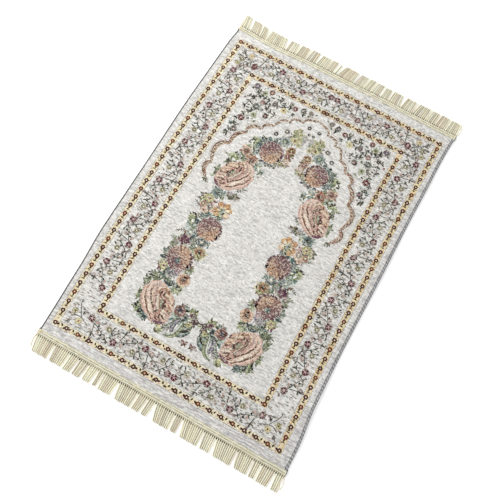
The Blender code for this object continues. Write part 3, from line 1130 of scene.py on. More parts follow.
# across, along, radius, petals, centre, middle, rim
BLOOMS = (
    (52, 253, 15, 6, "lime", "teal", "mist"),
    (24, 237, 12, 6, "lemon", "umber", "amber+cocoa"),
    (25, 216, 9, 5, "blush", "berry", "clay"),
    (21, 200, 8, 5, "cream", "clay", "petal"),
    (33, 188, 8, 5, "straw", "cocoa", "moss"),
    (33, 301, 8, 5, "cream", "olive", "lemon"),
    (26, 291, 8, 5, "umber", "lemon", "lime"),
    (41, 293, 8, 5, "lemon", "olive", "lime"),
    (22, 278, 8, 5, "umber", "moss", "lemon"),
    (39, 280, 8, 5, "ink", "olive", "lime"),
    (31, 268, 9, 5, "cocoa", "olive", "straw"),
    (16, 261, 8, 5, "olive", "moss", "lemon"),
    (62, 282, 8.5, 5, "cream", "slate", "mouse"),
    (85, 261, 7, 5, "cream", "slate", "slate"),
    (15, 322, 6.5, 5, "cream", "slate", "slate"),
    (6, 304, 5, 4, "cream", "slate", "slate"),
    (128, 177, 14, 7, "wine", "cocoa", "clay+petal"),
    (103, 157, 11, 6, "ink", "wine", "clay"),
    (133, 33, 16, 5, "ink", "teal", "teal+mist"),
    (144, 8, 13, 6, "plum", "straw", "lemon+moss"),
    (131, -11, 9, 5, "cream", "cocoa+petal", "mouse"),
    (151, -13, 9.5, 5, "cream", "cocoa", "tan"),
    (141, -27, 9, 5, "umber", "tan", "petal"),
    (143, -121, 14, 6, "mauve", "plum", "plum"),
    (93, -134, 17, 4, "ink", "rust", "cocoa+lemon"),
    (90, -146, 9, 4, "olive", "lemon", "lime"),
    (91, -217, 19, 9, "umber", "clay", "peach+petal"),
    (86, -208, 10, 5, "umber", "rust", "clay"),
    (154, -207, 12, 6, "plum", "straw", "lemon+moss"),
    (115, -202, 9, 4, "blush", "mouse", "blush"),
    (126, -217, 10, 4, "smoke", "smoke", "violet+smoke"),
    (140, -97, 12, 4, "cream", "mist", "mist"),
    (101, -107, 13, 5, "cream", "smoke", "teal"),
    (60, -288, 16, 5, "navy", "violet+wine", "wine+clay"),
    (49, -292, 9, 4, "blush", "clay", "tan"),
    (38, -295, 8.5, 4, "ink", "navy", "teal"),
    (23, -309, 7.5, 5, "umber", "lemon", "lemon+moss"),
    (13, -293, 9, 5, "ink", "plum", "plum+slate"),
    (26, -284, 8, 5, "slate", "plum", "mauve"),
    (130, -343, 9, 4, "ink", "teal", "teal"),
)
# across, along, half width, half length, leaves, yarns
GREENS = (
    (31, 280, 17, 24, 34, "lime moss lemon olive cream mouse"),
    (11, 282, 7, 16, 8, "mist mouse smoke"),
    (52, 253, 15, 15, 16, "teal mist slate violet moss"),
    (24, 226, 12, 22, 20, "cocoa tan olive clay lemon"),
    (22, 196, 12, 12, 12, "mouse petal cocoa moss"),
    (90, 234, 10, 10, 9, "teal slate mist"),
    (106, 222, 10, 16, 16, "slate teal fern mist"),
    (122, 212, 11, 15, 18, "lime fern ink moss cream"),
    (108, 192, 12, 15, 16, "mist teal slate smoke"),
    (124, 190, 9, 10, 9, "fern moss ink"),
    (64, 171, 20, 7, 16, "slate mouse navy mist"),
    (42, 182, 10, 8, 9, "fern mist mouse"),
    (104, 160, 17, 14, 22, "cocoa umber rust tan clay"),
    (84, 150, 12, 12, 14, "fern mist teal cream"),
    (127, 176, 17, 14, 20, "cocoa petal clay tan fern"),
    (126, 156, 13, 12, 14, "fern mist ink moss"),
    (146, 145, 13, 14, 18, "lime moss fern ink cream"),
    (150, 124, 14, 8, 10, "vine slate fern"),
    (66, 140, 9, 9, 7, "vine fern mist"),
    (168, 88, 5, 18, 9, "vine fern moss"),
    (94, 42, 17, 10, 18, "mouse olive vine smoke"),
    (122, 34, 12, 14, 16, "mist teal cream moss"),
    (137, 32, 13, 15, 20, "teal fern slate mist"),
    (146, 6, 16, 16, 22, "straw lemon moss olive plum"),
    (162, 4, 6, 14, 7, "vine mouse fern"),
    (126, -2, 7, 12, 8, "blush petal mouse"),
    (138, -18, 18, 14, 26, "tan cocoa petal mouse olive"),
    (104, -30, 12, 7, 12, "lime mist ink fern"),
    (128, -40, 14, 10, 16, "teal slate mist"),
    (136, -58, 8, 14, 12, "slate teal navy"),
    (152, -60, 13, 16, 20, "lime moss fern ink cream"),
    (144, -80, 15, 12, 18, "teal mist fern moss"),
    (130, -96, 13, 9, 14, "navy teal slate mist"),
    (98, -106, 18, 8, 16, "smoke teal slate mist"),
    (120, -114, 14, 11, 16, "fern slate mist mouse"),
    (142, -104, 12, 9, 12, "petal cocoa mist mouse"),
    (144, -122, 15, 14, 16, "plum mauve umber moss"),
    (92, -138, 16, 18, 26, "cocoa olive rust lemon tan"),
    (112, -132, 10, 8, 9, "fern teal moss"),
    (160, -142, 9, 16, 12, "vine fern mouse"),
    (91, -188, 9, 16, 14, "fern moss cocoa mist"),
    (164, -176, 6, 16, 9, "fern moss vine"),
    (126, -214, 15, 10, 16, "smoke violet mist petal"),
    (154, -207, 15, 15, 20, "lemon straw moss olive plum"),
    (138, -230, 15, 10, 16, "teal mist fern slate"),
    (116, -240, 14, 9, 16, "navy slate teal fern"),
    (98, -244, 15, 13, 24, "fern moss ink lime mist"),
    (158, -242, 14, 9, 14, "fern vine slate moss"),
    (170, -262, 8, 14, 9, "vine fern"),
    (170, -300, 6, 14, 9, "vine fern moss"),
    (156, -328, 12, 14, 18, "fern moss slate ink"),
    (136, -343, 13, 9, 14, "teal ink fern mist"),
    (90, -354, 12, 9, 18, "lime moss cream lemon olive"),
    (52, -278, 13, 9, 14, "teal mouse slate fern"),
    (26, -277, 11, 9, 14, "moss fern lemon slate"),
    (60, -308, 12, 14, 18, "fern mist teal moss"),
    (14, -296, 10, 10, 12, "plum slate moss umber"),
    (24, -310, 12, 10, 14, "lemon olive fern moss"),
    (42, -314, 14, 9, 14, "teal fern slate mist"),
    (70, -342, 9, 10, 8, "mouse smoke vine"),
    (13, -354, 8, 5, 8, "mauve umber mouse"),
)
# across, along, length, turn, pairs of leaves, yarn
SPRIGS = (
    (11, 270, 17, 0, 2, "vine"),
    (150, 138, 20, -1.2, 3, "fern"),
    (80, 118, 17, 1.3, 2, "fern"),
    (96, 58, 22, 1, 3, "vine"),
    (88, 76, 16, 1.7, 2, "mouse"),
    (152, -24, 20, -1, 3, "vine"),
    (150, -98, 22, -1.9, 3, "vine"),
    (152, -124, 22, -1.7, 3, "fern"),
    (76, -146, 12, 1.9, 1, "mouse"),
    (148, -226, 28, -1.9, 3, "vine"),
    (160, -262, 18, -1.4, 2, "fern"),
    (156, -290, 18, -1.7, 2, "vine"),
    (60, -322, 22, 3.6, 2, "vine"),
    (66, -330, 18, 4, 2, "mouse"),
)
# the thin stem at the foot of the garland
FOOT_STEM = ((13, -298), (13.4, -308), (13, -319), (12.6, -328))


def draw_blooms(draw, rows, level, across_turn, along_turn):
    """A table's small flowers, each turned by where it is."""
    for across, along, radius, petals, *names in rows:
        place = Place(across, along, across_turn * across + along_turn * along)
        blossom(draw, place, radius, petals, *names, level)


def draw_fans(draw, rows, level=2):
    """A table's fans of leaves."""
    for across, along, length, turn, count, spread, name in rows:
        fan(draw, Place(across, along, turn), length, count, spread, yarn(name), level)


def draw_garland(draw):
    """One half of the flower garland, lowest yarn first."""
    for across, along, length, turn, pairs, name in SPRIGS:
        sprig(draw, Place(across, along, turn), length, pairs, yarn(name), 0)
    for across, along, wide, tall, count, names in GREENS:
        tuft(draw, Place(across, along, 0.0, 1.04 * wide, 1.04 * tall), count, names, 1, 10.0, 0.5, 0.5)
    ribbon(draw, FOOT_STEM, 2.4, yarn("slate"), 2)
    for half, names, points in FOOT_LEAVES:
        swath(draw, Place(), points, half, names, 3)
    for across, along, radius, warm, eye in DAHLIAS:
        dahlia(draw, Place(across, along, 0.0, radius), warm, eye, 3)
    for row in ROSES:
        rose(draw, Place(*row), 3)
    for across, along, radius in PANSIES:
        pansy(draw, Place(across, along, 0.0, radius), 4)
    draw_blooms(draw, BLOOMS, 6, 0.7, 0.0)


# ---- the corner sprays, right half

# across, along, radius, petals, centre, middle, rim
SPRAY_BLOOMS = (
    (32, 363, 8.5, 5, "moss", "mouse", "mouse"),
    (54, 361, 8.5, 5, "smoke", "violet+mouse", "slate"),
    (77, 354, 9, 5, "blush", "berry", "berry+clay"),
    (102, 333, 9.5, 6, "plum", "lemon", "straw"),
    (155, 366, 9, 5, "blush", "clay", "berry+clay"),
    (200, 363, 11, 5, "smoke", "violet", "plum+mouse"),
    (171, 354, 8, 5, "ink", "moss", "lime"),
    (163, 325, 9, 5, "blush", "clay", "wine+mouse"),
    (137, 293, 9.5, 5, "blush", "wine", "slate"),
    (173, 306, 11, 5, "smoke", "teal+mouse", "slate+teal"),
    (166, 280, 9, 5, "ink", "moss", "lime"),
    (191, 256, 10.5, 6, "blush", "berry", "wine"),
    (191, 216, 9, 5, "blush", "plum", "slate"),
    (214, 318, 3.5, 4, "blush", "rust", "clay"),
    (132, 337, 8.5, 5, "smoke", "slate+plum", "mouse"),
)
# the stems' points, then the pairs of leaves along each
SPRAY_STEMS = (
    (((84, 352), (94, 349), (106, 343), (120, 336), (136, 330), (152, 326)), 4),
    (((116, 368), (124, 360), (128, 349), (132, 338)), 3),
    (((144, 342), (156, 340), (168, 343), (184, 350), (192, 358)), 4),
    (((110, 312), (124, 308), (138, 312), (152, 322), (158, 330)), 4),
    (((176, 346), (182, 336), (190, 330), (200, 326), (208, 330)), 3),
    (((163, 316), (170, 296), (182, 288), (190, 276), (196, 266)), 4),
    (((188, 340), (196, 320), (200, 300), (208, 290)), 3),
    (((200, 262), (205, 248), (202, 236), (196, 226)), 2),
    (((184, 236), (196, 226), (200, 212), (202, 198)), 2),
    (((60, 356), (52, 350), (42, 350)), 1),
)
# across, along, length, turn, leaves, spread, yarn
SPRAY_FANS = (
    (93, 356, 14, 0.3, 3, 1.3, "vine"),
    (109, 350, 10, 0.1, 1, 0, "ink"),
    (78, 338, 13, 2.4, 3, 1.5, "vine"),
    (80, 327, 5.5, 2.9, 1, 0, "ink"),
    (104, 306, 5.5, 0.5, 1, 0, "ink"),
    (190, 344, 13, 0.4, 3, 1.4, "slate"),
    (206, 352, 10, -1.2, 2, 0.9, "slate"),
    (158, 262, 11, 1.2, 2, 0.9, "vine"),
    (172, 262, 9, -0.8, 2, 0.9, "slate"),
    (204, 224, 13, -1, 3, 1.2, "teal"),
    (203, 200, 15, -1.9, 2, 0.7, "slate"),
    (203, 200, 17, 3.3, 2, 0.9, "vine+slate"),
    (150, 306, 10, -1.8, 2, 0.9, "vine"),
    (198, 282, 9, -0.6, 2, 0.9, "mouse"),
    (38, 352, 8, 1.8, 2, 0.9, "vine"),
    (20, 366, 8, 1.4, 2, 0.9, "vine"),
)
# across, along, half width, half length, leaves, yarns
SPRAY_GREENS = (
    (44, 362, 26, 9, 10, "smoke mist mouse moss"),
    (96, 350, 24, 16, 14, "smoke mist vine mouse moss"),
    (130, 354, 20, 18, 14, "mist smoke slate mouse"),
    (172, 350, 26, 22, 21, "mist slate mouse moss smoke"),
    (134, 306, 26, 16, 15, "mist mouse vine smoke"),
    (180, 306, 24, 22, 20, "mist slate mouse moss smoke"),
    (176, 270, 20, 18, 14, "moss mist mouse smoke"),
    (196, 238, 14, 20, 10, "mist mouse vine"),
    (200, 204, 11, 15, 7, "slate mist mouse"),
)


def draw_sprays(draw):
    """One corner of sprays above the arch."""
    for across, along, wide, tall, count, names in SPRAY_GREENS:
        tuft(draw, Place(across, along, 0.0, wide, tall), count, names, 0, 8.0, 0.4)
    for points, pairs in SPRAY_STEMS:
        path = smooth_path(points)
        ribbon(draw, path, 2.3, yarn("slate"), 1, 0.85)
        for index in range(pairs):
            step = int((index + 0.6) / pairs * (len(path) - 2))
            here, there = path[step], path[step + 1]
            turn = math.atan2(there[1] - here[1], there[0] - here[0]) - math.pi / 2
            for side in (-1, 1):
                tint = yarn(("slate", "ink", "ink+vine")[(index + side) % 3])
                leaf(draw, Place(*here, turn + side * 0.9), 9.5, 4.6, tint, 2)
    draw_fans(draw, SPRAY_FANS)
    draw_blooms(draw, SPRAY_BLOOMS, 4, 0.0, 0.3)


# ---- the arch

# the scalloped arch, right half: across, along; a scallop ends where a row starts
ARCH = (
    ((0, 354), (12, 349), (28, 344), (36, 337), (38, 328)),
    ((38, 328), (50, 328.5), (62, 326), (69, 319), (69, 310)),
    ((69, 310), (80, 310.5), (90, 306), (95, 295), (100, 286), (101, 278)),
    ((101, 278), (113, 275.5), (124, 267), (127, 253)),
    ((127, 253), (141, 254), (153, 246), (159, 235), (156, 224)),
    ((156, 224), (168, 216), (177, 203), (180, 188), (178, 173)),
    ((178, 173), (191, 169), (202, 156), (205, 140), (201, 121), (193, 100)),
    ((193, 100), (201, 94), (202, 81), (196, 68), (184, 54)),
)
ROPE_STEP = 2.9
ROPE_SLANT = 0.95
ARCH_LINE = 8.5  # from the rope's middle to the fine line outside it
ROPE_YARNS = ("umber", "peach+cream", "ink+umber", "salmon", "umber+rust", "cream", "maroon", "tan")


def low_share(along):
    """0 at the top of the arch, 1 in its lower scallops."""
    return smooth(320.0, 200.0, along)


def path_steps(points, step):
    """Even steps along a path: places and headings."""
    found = []
    carried = 0.0
    for here, there in zip(points, points[1:]):
        dx, dy = there[0] - here[0], there[1] - here[1]
        length = math.hypot(dx, dy)
        while carried < length:
            share = carried / length
            found.append((here[0] + dx * share, here[1] + dy * share, math.atan2(dy, dx)))
            carried += step
        carried -= length
    return found


# at the foot of the arch, as the fans of the sprays
ARCH_FANS = (
    (184, 54, 13, 2.9, 4, 2.4, "vine"),
    (180, 46, 10, 1.6, 3, 1.6, "moss+mouse"),
)


def draw_arch(draw):
    """One half of the arch: a rope of slanted strands, thickest in the middle of each low scallop."""
    number = 0
    for points in ARCH:
        steps = path_steps(smooth_path(points, 8), ROPE_STEP)
        half = 3.5 + 2.8 * low_share(points[0][1])
        swath(draw, Place(), points, half, "tan petal+tan wine+clay umber", 1)
        for index, (x, y, heading) in enumerate(steps):
            thick = 5.0 + (1.6 + 5.8 * low_share(y)) * math.sin(math.pi * index / len(steps))
            number += 1
            tint = yarn(ROPE_YARNS[number % len(ROPE_YARNS)])
            spot = Place(x, y, heading - ROPE_SLANT).within(0.0, -thick * 0.66)
            leaf(draw, spot, thick * 1.2, 3.3, tint, 2, 0.0, 1.0)
        outer = [Place(*step).at(0.0, ARCH_LINE) for step in steps[2:-2]]
        ribbon(draw, outer, 3.0, yarn("mouse+petal"), 0, 0.3)
    draw_fans(draw, ARCH_FANS, 3)


# ---- the guard stripes

# half width, half length, pitch of the short runs, first blossom of the long runs, their pitch and number
OUTER_GUARD = (312, 462.4, 31.7, 445.1, 26.46, 34)
INNER_GUARD = (232.2, 385.2, 32.45, 358.9, 25.1, 30)
GUARD_HALF = 7.4
GUARD_YARNS = ("gold", "gold+peach", "gold+moss", "amber+peach", "straw")
GUARD_WARMTHS = (0.3, 0.95, 0.85, 0.42)  # of the near, right, far and left runs
GUARD_LINE = 1.4  # from a stripe's edge to the fine line beside it
GUARD_LINE_WIDTH = 1.3
GUARD_STEP = 5.0  # from one row of a stripe's points to the next


def guard_band(draw, half_width, half_length):
    """One rectangle of pale gold ground with cream edges and a fine dark line beside it."""
    corners = [(-half_width, -half_length), (half_width, -half_length),
               (half_width, half_length), (-half_width, half_length)]
    draws = random.Random(3)
    for start, end, warmth in zip(corners, corners[1:] + corners[:1], GUARD_WARMTHS):
        length = math.dist(start, end)
        place = Place(*start, math.atan2(end[1] - start[1], end[0] - start[0]))
        count = int(length / GUARD_STEP)
        rows = []
        for t in even(-GUARD_HALF, length + GUARD_HALF, count):
            row = []
            for across in (-1.0, -0.5, 0.0, 0.5, 1.0):
                rim = abs(across) == 1.0
                warm = warmth * draws.uniform(0.2, 1.4) * (0.9 if rim else 0.8)
                body = yarn(draws.choice(GUARD_YARNS))
                tint = dimmed(mixed(yarn("cream+straw"), body, min(warm, 1.0)), 1.07)
                row.append((*place.at(t, across * GUARD_HALF), tint, 0.5 if rim else FULL_HOLD))
            rows.append(row)
        draw.grid(rows, 0)
        for across in (-GUARD_HALF - GUARD_LINE, GUARD_HALF + GUARD_LINE):
            line = [place.at(t, across) for t in even(0.0, length, count)]
            ribbon(draw, line, GUARD_LINE_WIDTH, yarn("mouse"), 0, RIM_HOLD)


MARK_CLEAR = 8.0  # no mark lies nearer to the rug's long middle


def guard_places(half_width, half_length, short_pitch, long_start, long_pitch, long_count):
    """Where blossoms sit and where the marks between them sit, each as across, along and turn."""
    blossoms, short_marks, long_marks = [], [], []
    for end in (NEAR, FAR):
        for side in (LEFT, RIGHT):
            across = half_width
            while across > 0.0:
                blossoms.append((side * across, end * half_length, 0.0))
                mark = across - 0.5 * short_pitch
                if abs(mark) > MARK_CLEAR:
                    short_marks.append((side * mark, end * half_length, 0.0))
                across -= short_pitch
    for side in (LEFT, RIGHT):
        for index in range(long_count):
            along = long_start - index * long_pitch
            blossoms.append((side * half_width, along, math.pi / 2))
            long_marks.append((side * half_width, along - 0.5 * long_pitch, math.pi / 2))
    return blossoms, short_marks, long_marks


def marks_motif(leaves, wide=1, tall=1):
    """Small woven leaves about a middle, each as x, y, length, width, turn and yarn."""
    draw = Drawing()
    for x, y, length, width, turn, name in leaves:
        spot = Place(wide=wide, tall=tall).within(x, y, turn)
        leaf(draw, spot, length, width, yarn(name), 1, 0.0, 0.8)
    return draw.flat_mesh("marks_motif")


# yarns of the ring blossoms, from the middle outwards; the three kinds take turns
RING_YARNS = (
    "cream petal maroon maroon maroon rust+maroon",
    "straw petal maroon maroon+ink maroon umber+maroon",
    "cream peach umber+rust maroon+rust maroon umber+maroon",
)


def ring_motif(names):
    """A dark ring blossom with a pale centre."""
    draw = Drawing()
    rosette(draw, Place(turn=0.3), 6.5, 6, 0.22, yarns(names), 1.5, 0.8)
    return draw.flat_mesh("ring_motif")


# the marks right of the middle, then those on the right side, whose X runs along the side
SHORT_MARKS = (
    (-3.8, -1, 7.4, 4.8, -0.4, "olive+ink"),
    (10.4, -2, 7, 6, 0.9, "maroon"),
    (-8.6, -5.6, 5.4, 5, 0, "ink+umber"),
    (2, -4.4, 7, 4.6, -1.4, "petal"),
    (-3, -5, 5, 3, 1.2, "straw"),
    (3, 4.6, 5, 3, -1.3, "cream"),
)
LONG_MARKS = (
    (8.6, 1.2, 7, 4.8, 1.57, "olive+maroon"),
    (-0.3, -3.4, 8.4, 3.8, 0, "umber+olive"),
    (-5, -5, 6, 3, -1.57, "straw"),
)


# ---- the border vine

VINE_STEP = 77.0  # from one red flower to the next along a short end
LONG_STEP = 64.3  # the same along a long side
BAND_MIDDLE = (271, 424)
VINE_MAIN = ((4, 9), (12, 6), (27, -1), (44, -9), (56, -17))
VINE_BRANCH = ((53, -15), (62, -5), (70, 4), (75, 15))
VINE_TWIG = ((12, 3), (15, -8), (18, -20))
VINE_CURL = ((66, -1), (60, 6), (62, 17))
# along, across, length, width, turn, yarn
VINE_LEAVES = (
    (40, -10, 6, 6, 3, "ink"),
    (26, 2, 5.4, 5.4, 0.4, "ink"),
    (66, 0, 9.5, 4.2, 0.7, "slate"),
    (73, 9, 9.5, 4.2, -1, "vine"),
    (75, 13, 8.6, 4, 0.3, "slate"),
    (56, -16, 10.5, 4.4, -2.6, "vine"),
    (55, -15, 9.6, 4.2, 2.2, "slate"),
    (50, -12, 8, 4, 0.4, "mouse"),
    (18, -19, 9.6, 4.4, 3, "slate"),
    (17, -18, 9.6, 4.2, 1.8, "vine"),
    (19, -18, 8.6, 4, -2, "mouse"),
    (12, 5, 8, 4, 0.2, "mouse"),
    (30, -3, 8.6, 4, 2.4, "vine"),
    (36, -5, 8, 4, -0.4, "mouse"),
    (60, -8, 9, 4.2, -1.6, "vine"),
    (61, 16, 8.6, 4.2, -0.5, "slate"),
    (33, 15, 8.6, 4, -0.8, "mouse"),
    (36, -22, 8.6, 4.2, -1.2, "vine"),
    (-12, 21, 10, 5, 1.9, "mauve+mouse"),
    (22, -25, 11, 7, 2.8, "mouse"),
    (32, -14, 11, 6.6, 0.4, "mauve+petal"),
    (15, 9, 11, 6.4, -1.4, "mauve+petal"),
)
# the vine's two flowers: along, across
RED_FLOWER = (0.0, 13.0)
PALE_FLOWER = (52.0, 9.5)
HAZE = "smoke mist mouse+petal smoke+petal moss+smoke mouse+smoke mauve+smoke"
HAZE_LENGTH = (6.0, 9.4)
HAZE_WIDTH = 3.2
# what the haze covers, at a short end and at a long side: lowest corner, highest corner, number of floats
END_HAZE = ((6.0, 396.0), (300.0, 450.0), 330)
SIDE_HAZE = ((246.0, -390.0), (300.0, 392.0), 660)


def vine_unit(draw, start, heading, side, step, blooms_only=False):
    """One flower of the vine and the stem that leads to the next, which stands on the other side."""
    stretch = step / VINE_STEP

    def spot(along, across, turn=0.0):
        here = Place(*start, heading).at(along * stretch, across * side)
        return Place(*here, heading + turn * side + (0.0 if side > 0 else math.pi))

    blossom(draw, spot(*RED_FLOWER), 10.0, 5, "blush", "berry", "berry", 4, False)
    if blooms_only:
        return
    for path in (VINE_MAIN, VINE_BRANCH, VINE_TWIG, VINE_CURL):
        places = [spot(*point) for point in smooth_path(path)]
        ribbon(draw, [(place.x, place.y) for place in places], 2.1, yarn("slate"), 1, 0.75)
    for along, across, length, width, turn, name in VINE_LEAVES:
        leaf(draw, spot(along, across, turn), length, width, yarn(name), 2)
    blossom(draw, spot(*PALE_FLOWER), 8.2, 5, "cream", "olive", "lemon+olive", 4, False)


def haze(draw, low, high, count):
    """Short pale floats scattered over a part of the band, along the weft."""
    draws = random.Random(17)
    tints = yarns(HAZE)
    for index in range(count):
        place = Place(draws.uniform(low[0], high[0]), draws.uniform(low[1], high[1]), math.pi / 2)
        tint = dimmed(tints[index % len(tints)], draws.uniform(0.85, 1.1))
        leaf(draw, place, draws.uniform(*HAZE_LENGTH), HAZE_WIDTH, tint, 0, 0.0, 0.4)


# corner flowers, right half, at each end: across, along towards that end, radius, centre, middle, rim
CORNER_BLOOMS = {
    FAR: (
        (262, 437, 9.5, "rust", "straw", "lemon+tan"),
        (238, 415, 9, "blush", "berry", "berry+wine"),
        (286, 400, 8, "olive", "lemon", "olive+lemon"),
    ),
    NEAR: (
        (285, 414, 8.5, "olive", "lemon", "olive+lemon"),
        (265, 433, 9, "rust", "straw", "lemon"),
    ),
}
CORNER_FANS = (
    (284, 440, 13, -0.8, 3, 1.4, "slate+mouse"),
    (278, 414, 12, -1.6, 3, 1.3, "slate"),
    (262, 412, 10, 3, 2, 0.9, "ink"),
    (292, 424, 10, -1.2, 2, 0.9, "vine"),
)
CORNER_STEMS = (
    ((240, 432), (258, 424), (274, 422), (288, 430)),
    ((262, 422), (272, 408), (280, 394), (282, 380)),
)


def draw_corner(draw, blooms):
    """The vine's turn at a corner."""
    for points in CORNER_STEMS:
        ribbon(draw, smooth_path(points), 1.8, yarn("slate"), 1)
    draw_fans(draw, CORNER_FANS)
    for across, along, radius, *names in blooms:
        blossom(draw, Place(across, along, 0.4), radius, 5, *names, 4, False)


# flowers of a short end from the corner inwards, and how many a long side has from the first near one
SHORT_FLOWERS = (239, 163, 86, 9)
LONG_FLOWERS = 12
LONG_START = -334.0


def draw_vine(draw):
    """The vine along the short ends and the long sides, mirrored about the rug's long middle."""
    for side in (LEFT, RIGHT):
        for end in (NEAR, FAR):
            draw.mirrored(side, end)
            haze(draw, *END_HAZE)
            draw_corner(draw, CORNER_BLOOMS[end])
            for index, across in enumerate(SHORT_FLOWERS):
                last = across == SHORT_FLOWERS[-1]
                vine_unit(draw, (across, BAND_MIDDLE[1]), math.pi, (-1) ** index, VINE_STEP, last)
        draw.mirrored(side)
        haze(draw, *SIDE_HAZE)
        for index in range(LONG_FLOWERS):
            along = LONG_START + LONG_STEP * index
            vine_unit(draw, (BAND_MIDDLE[0], along), math.pi / 2, (-1) ** index, LONG_STEP)


# ---- operators


def settings():
    """The user's sizes and colours."""
    return bpy.context.scene.rug_sizes, bpy.context.scene.rug_colours


def material(name, maker, *values):
    """A material by name, made once."""
    return bpy.data.materials.get(name) or maker(name, *values)


def figures_material():
    """The figure yarn that all woven figures share."""
    return material("figure_weave", figure_finish, *settings())


def settle(piece, slot, *nodes):
    """Ties a piece to the rug and hides the solids that it stands for; the slot is not used."""
    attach(piece, BODY)
    for node in nodes:
        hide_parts(node)


CLOTH_COLUMNS = 120
CLOTH_ROWS = 176
# where the cloth's faces lie in its bake map: top and underside across, both along, width of the edges
CLOTH_MAP_TOP = (0.01, 0.79)
CLOTH_MAP_UNDER = (0.81, 0.99)
CLOTH_MAP_ALONG = (0.01, 0.99)
CLOTH_MAP_EDGE = 0.008


def cloth_mesh():
    """The laid sheet: top, underside and cut edges."""
    points, flat = [], []
    for height in (0.0, CLOTH_THICKNESS):
        for v in even(-HALF_LENGTH, HALF_LENGTH, CLOTH_ROWS):
            for share in even(0.0, 1.0, CLOTH_COLUMNS):
                low, high = YARN_REACH - side_line(v, LEFT), side_line(v, RIGHT) - YARN_REACH
                points.append(laid(low + (high - low) * share, v, height))
                flat.append((share, 0.5 + 0.5 * v / HALF_LENGTH))
    wide = CLOTH_COLUMNS + 1
    layer = wide * (CLOTH_ROWS + 1)
    last = CLOTH_ROWS * wide
    faces, corners = [], []

    def map_spot(index, top=True):
        shares = zip(flat[index], (CLOTH_MAP_TOP if top else CLOTH_MAP_UNDER, CLOTH_MAP_ALONG))
        return [low + (high - low) * share for share, (low, high) in shares]

    for row in range(CLOTH_ROWS):
        for column in range(CLOTH_COLUMNS):
            a = row * wide + column
            under = (a, a + wide, a + wide + 1, a + 1)
            faces += [under, tuple(layer + index for index in under[::-1])]
            corners += [map_spot(index, False) for index in under]
            corners += [map_spot(index) for index in under[::-1]]
    rim = [(column, column + 1, 0, -1) for column in range(CLOTH_COLUMNS)]
    rim += [(row * wide + wide - 1, (row + 1) * wide + wide - 1, 1, 0) for row in range(CLOTH_ROWS)]
    rim += [(last + column + 1, last + column, 0, 1) for column in range(CLOTH_COLUMNS)]
    rim += [((row + 1) * wide, row * wide, -1, 0) for row in range(CLOTH_ROWS)]
    for here, there, *outwards in rim:
        faces.append((here, there, layer + there, layer + here))
        for index, out in ((here, CLOTH_MAP_EDGE), (there, CLOTH_MAP_EDGE), (there, 0.0), (here, 0.0)):
            corners.append([value + way * out for value, way in zip(map_spot(index), outwards)])
    mesh = new_mesh("woven_cloth", points, faces=faces)
    give_map(mesh, corners)
    return mesh


class MakeCloth(bpy.types.Operator):
    """Make the woven ground cloth"""

    bl_idname = "rug.make_cloth"
    bl_label = "Woven cloth"

    def execute(self, context):
        cloth = new_piece("woven_cloth", cloth_mesh(), material("ground_weave", cloth_finish, *settings()))
        cloth.data.shade_smooth()
        cloth.data.set_sharp_from_angle(angle=math.radians(50.0))
        settle(cloth, "woven_cloth", "rug_cloth")
        return {"FINISHED"}


def draw_piece(name, draw):
    """Lays a drawing on the cloth as a piece of its own."""
    rise = settings()[0].figure_rise / MM
    piece = new_piece(name, draw.laid_mesh(name, rise), figures_material())
    map_from_above(piece.data)
    settle(piece, "woven_cloth")


MOTIF_LIFT = 0.1  # above the lowest figure yarn


def spread_motif(name, motif, spots, unevenness, seed):
    """Repeats a flat motif over spots of (u, v, turn) and returns the mesh."""
    height = CLOTH_THICKNESS + settings()[0].figure_rise / MM + MOTIF_LIFT
    return repeated(name, motif, figures_material(), unevenness, seed,
                    [laid(u, v, height) for u, v, _ in spots], turn=[laid_turn(*spot) for spot in spots])


class MakeGuards(bpy.types.Operator):
    """Make the two gold guard stripes and their blossoms"""

    bl_idname = "rug.make_guards"
    bl_label = "Guard stripes"

    def execute(self, context):
        for name, size in (("outer_guard", OUTER_GUARD), ("inner_guard", INNER_GUARD)):
            draw = Drawing()
            guard_band(draw, *size[:2])
            draw_piece(name, draw)
            blossoms, short_marks, long_marks = guard_places(*size)
            kinds = len(RING_YARNS)
            meshes = [spread_motif(f"{name}_ring", ring_motif(names), blossoms[index::kinds], 0.06, 2)
                      for index, names in enumerate(RING_YARNS)]
            for table, marks, way in ((SHORT_MARKS, short_marks, "wide"), (LONG_MARKS, long_marks, "tall")):
                for side in (LEFT, RIGHT):
                    motif = marks_motif(table, **{way: side})
                    spots = [mark for mark in marks if mark[0] * side > 0.0]
                    meshes.append(spread_motif(f"{name}_marks", motif, spots, 0.1, 4))
            settle(joined(f"{name}_blossoms", meshes, figures_material()), "woven_cloth")
        return {"FINISHED"}


class MakeVine(bpy.types.Operator):
    """Make the flower vine of the border"""

    bl_idname = "rug.make_vine"
    bl_label = "Border vine"

    def execute(self, context):
        draw = Drawing()
        draw_vine(draw)
        draw_piece("border_vine", draw)
        return {"FINISHED"}


class MakeField(bpy.types.Operator):
    """Make the arch, the corner sprays and the garland of the inner field"""

    bl_idname = "rug.make_field"
    bl_label = "Field figures"

    def execute(self, context):
        draw = Drawing()
        for side in (LEFT, RIGHT):
            draw.mirrored(side)
            draw_arch(draw)
            draw_sprays(draw)
            draw_garland(draw)
        draw_piece("field_figures", draw)
        return {"FINISHED"}


# radii of the yarn round an edge, of its needle line and of its ends
THREAD = 0.5
CHAIN_THREAD = 0.3
TAIL_THREAD = 0.9
STITCH_TOP = CLOTH_THICKNESS + 2.0 * YARN_REACH - THREAD
STITCH_MARGIN = 2.0  # from the last stitch to the heading
# name, side, node, how dark the dark yarn is and how pale the pale yarn
OVERLOCKS = (
    ("left_stitches", LEFT, "left_overlock", 0.45, 0.9),
    ("right_stitches", RIGHT, "right_overlock", 0.3, 3.2),
)


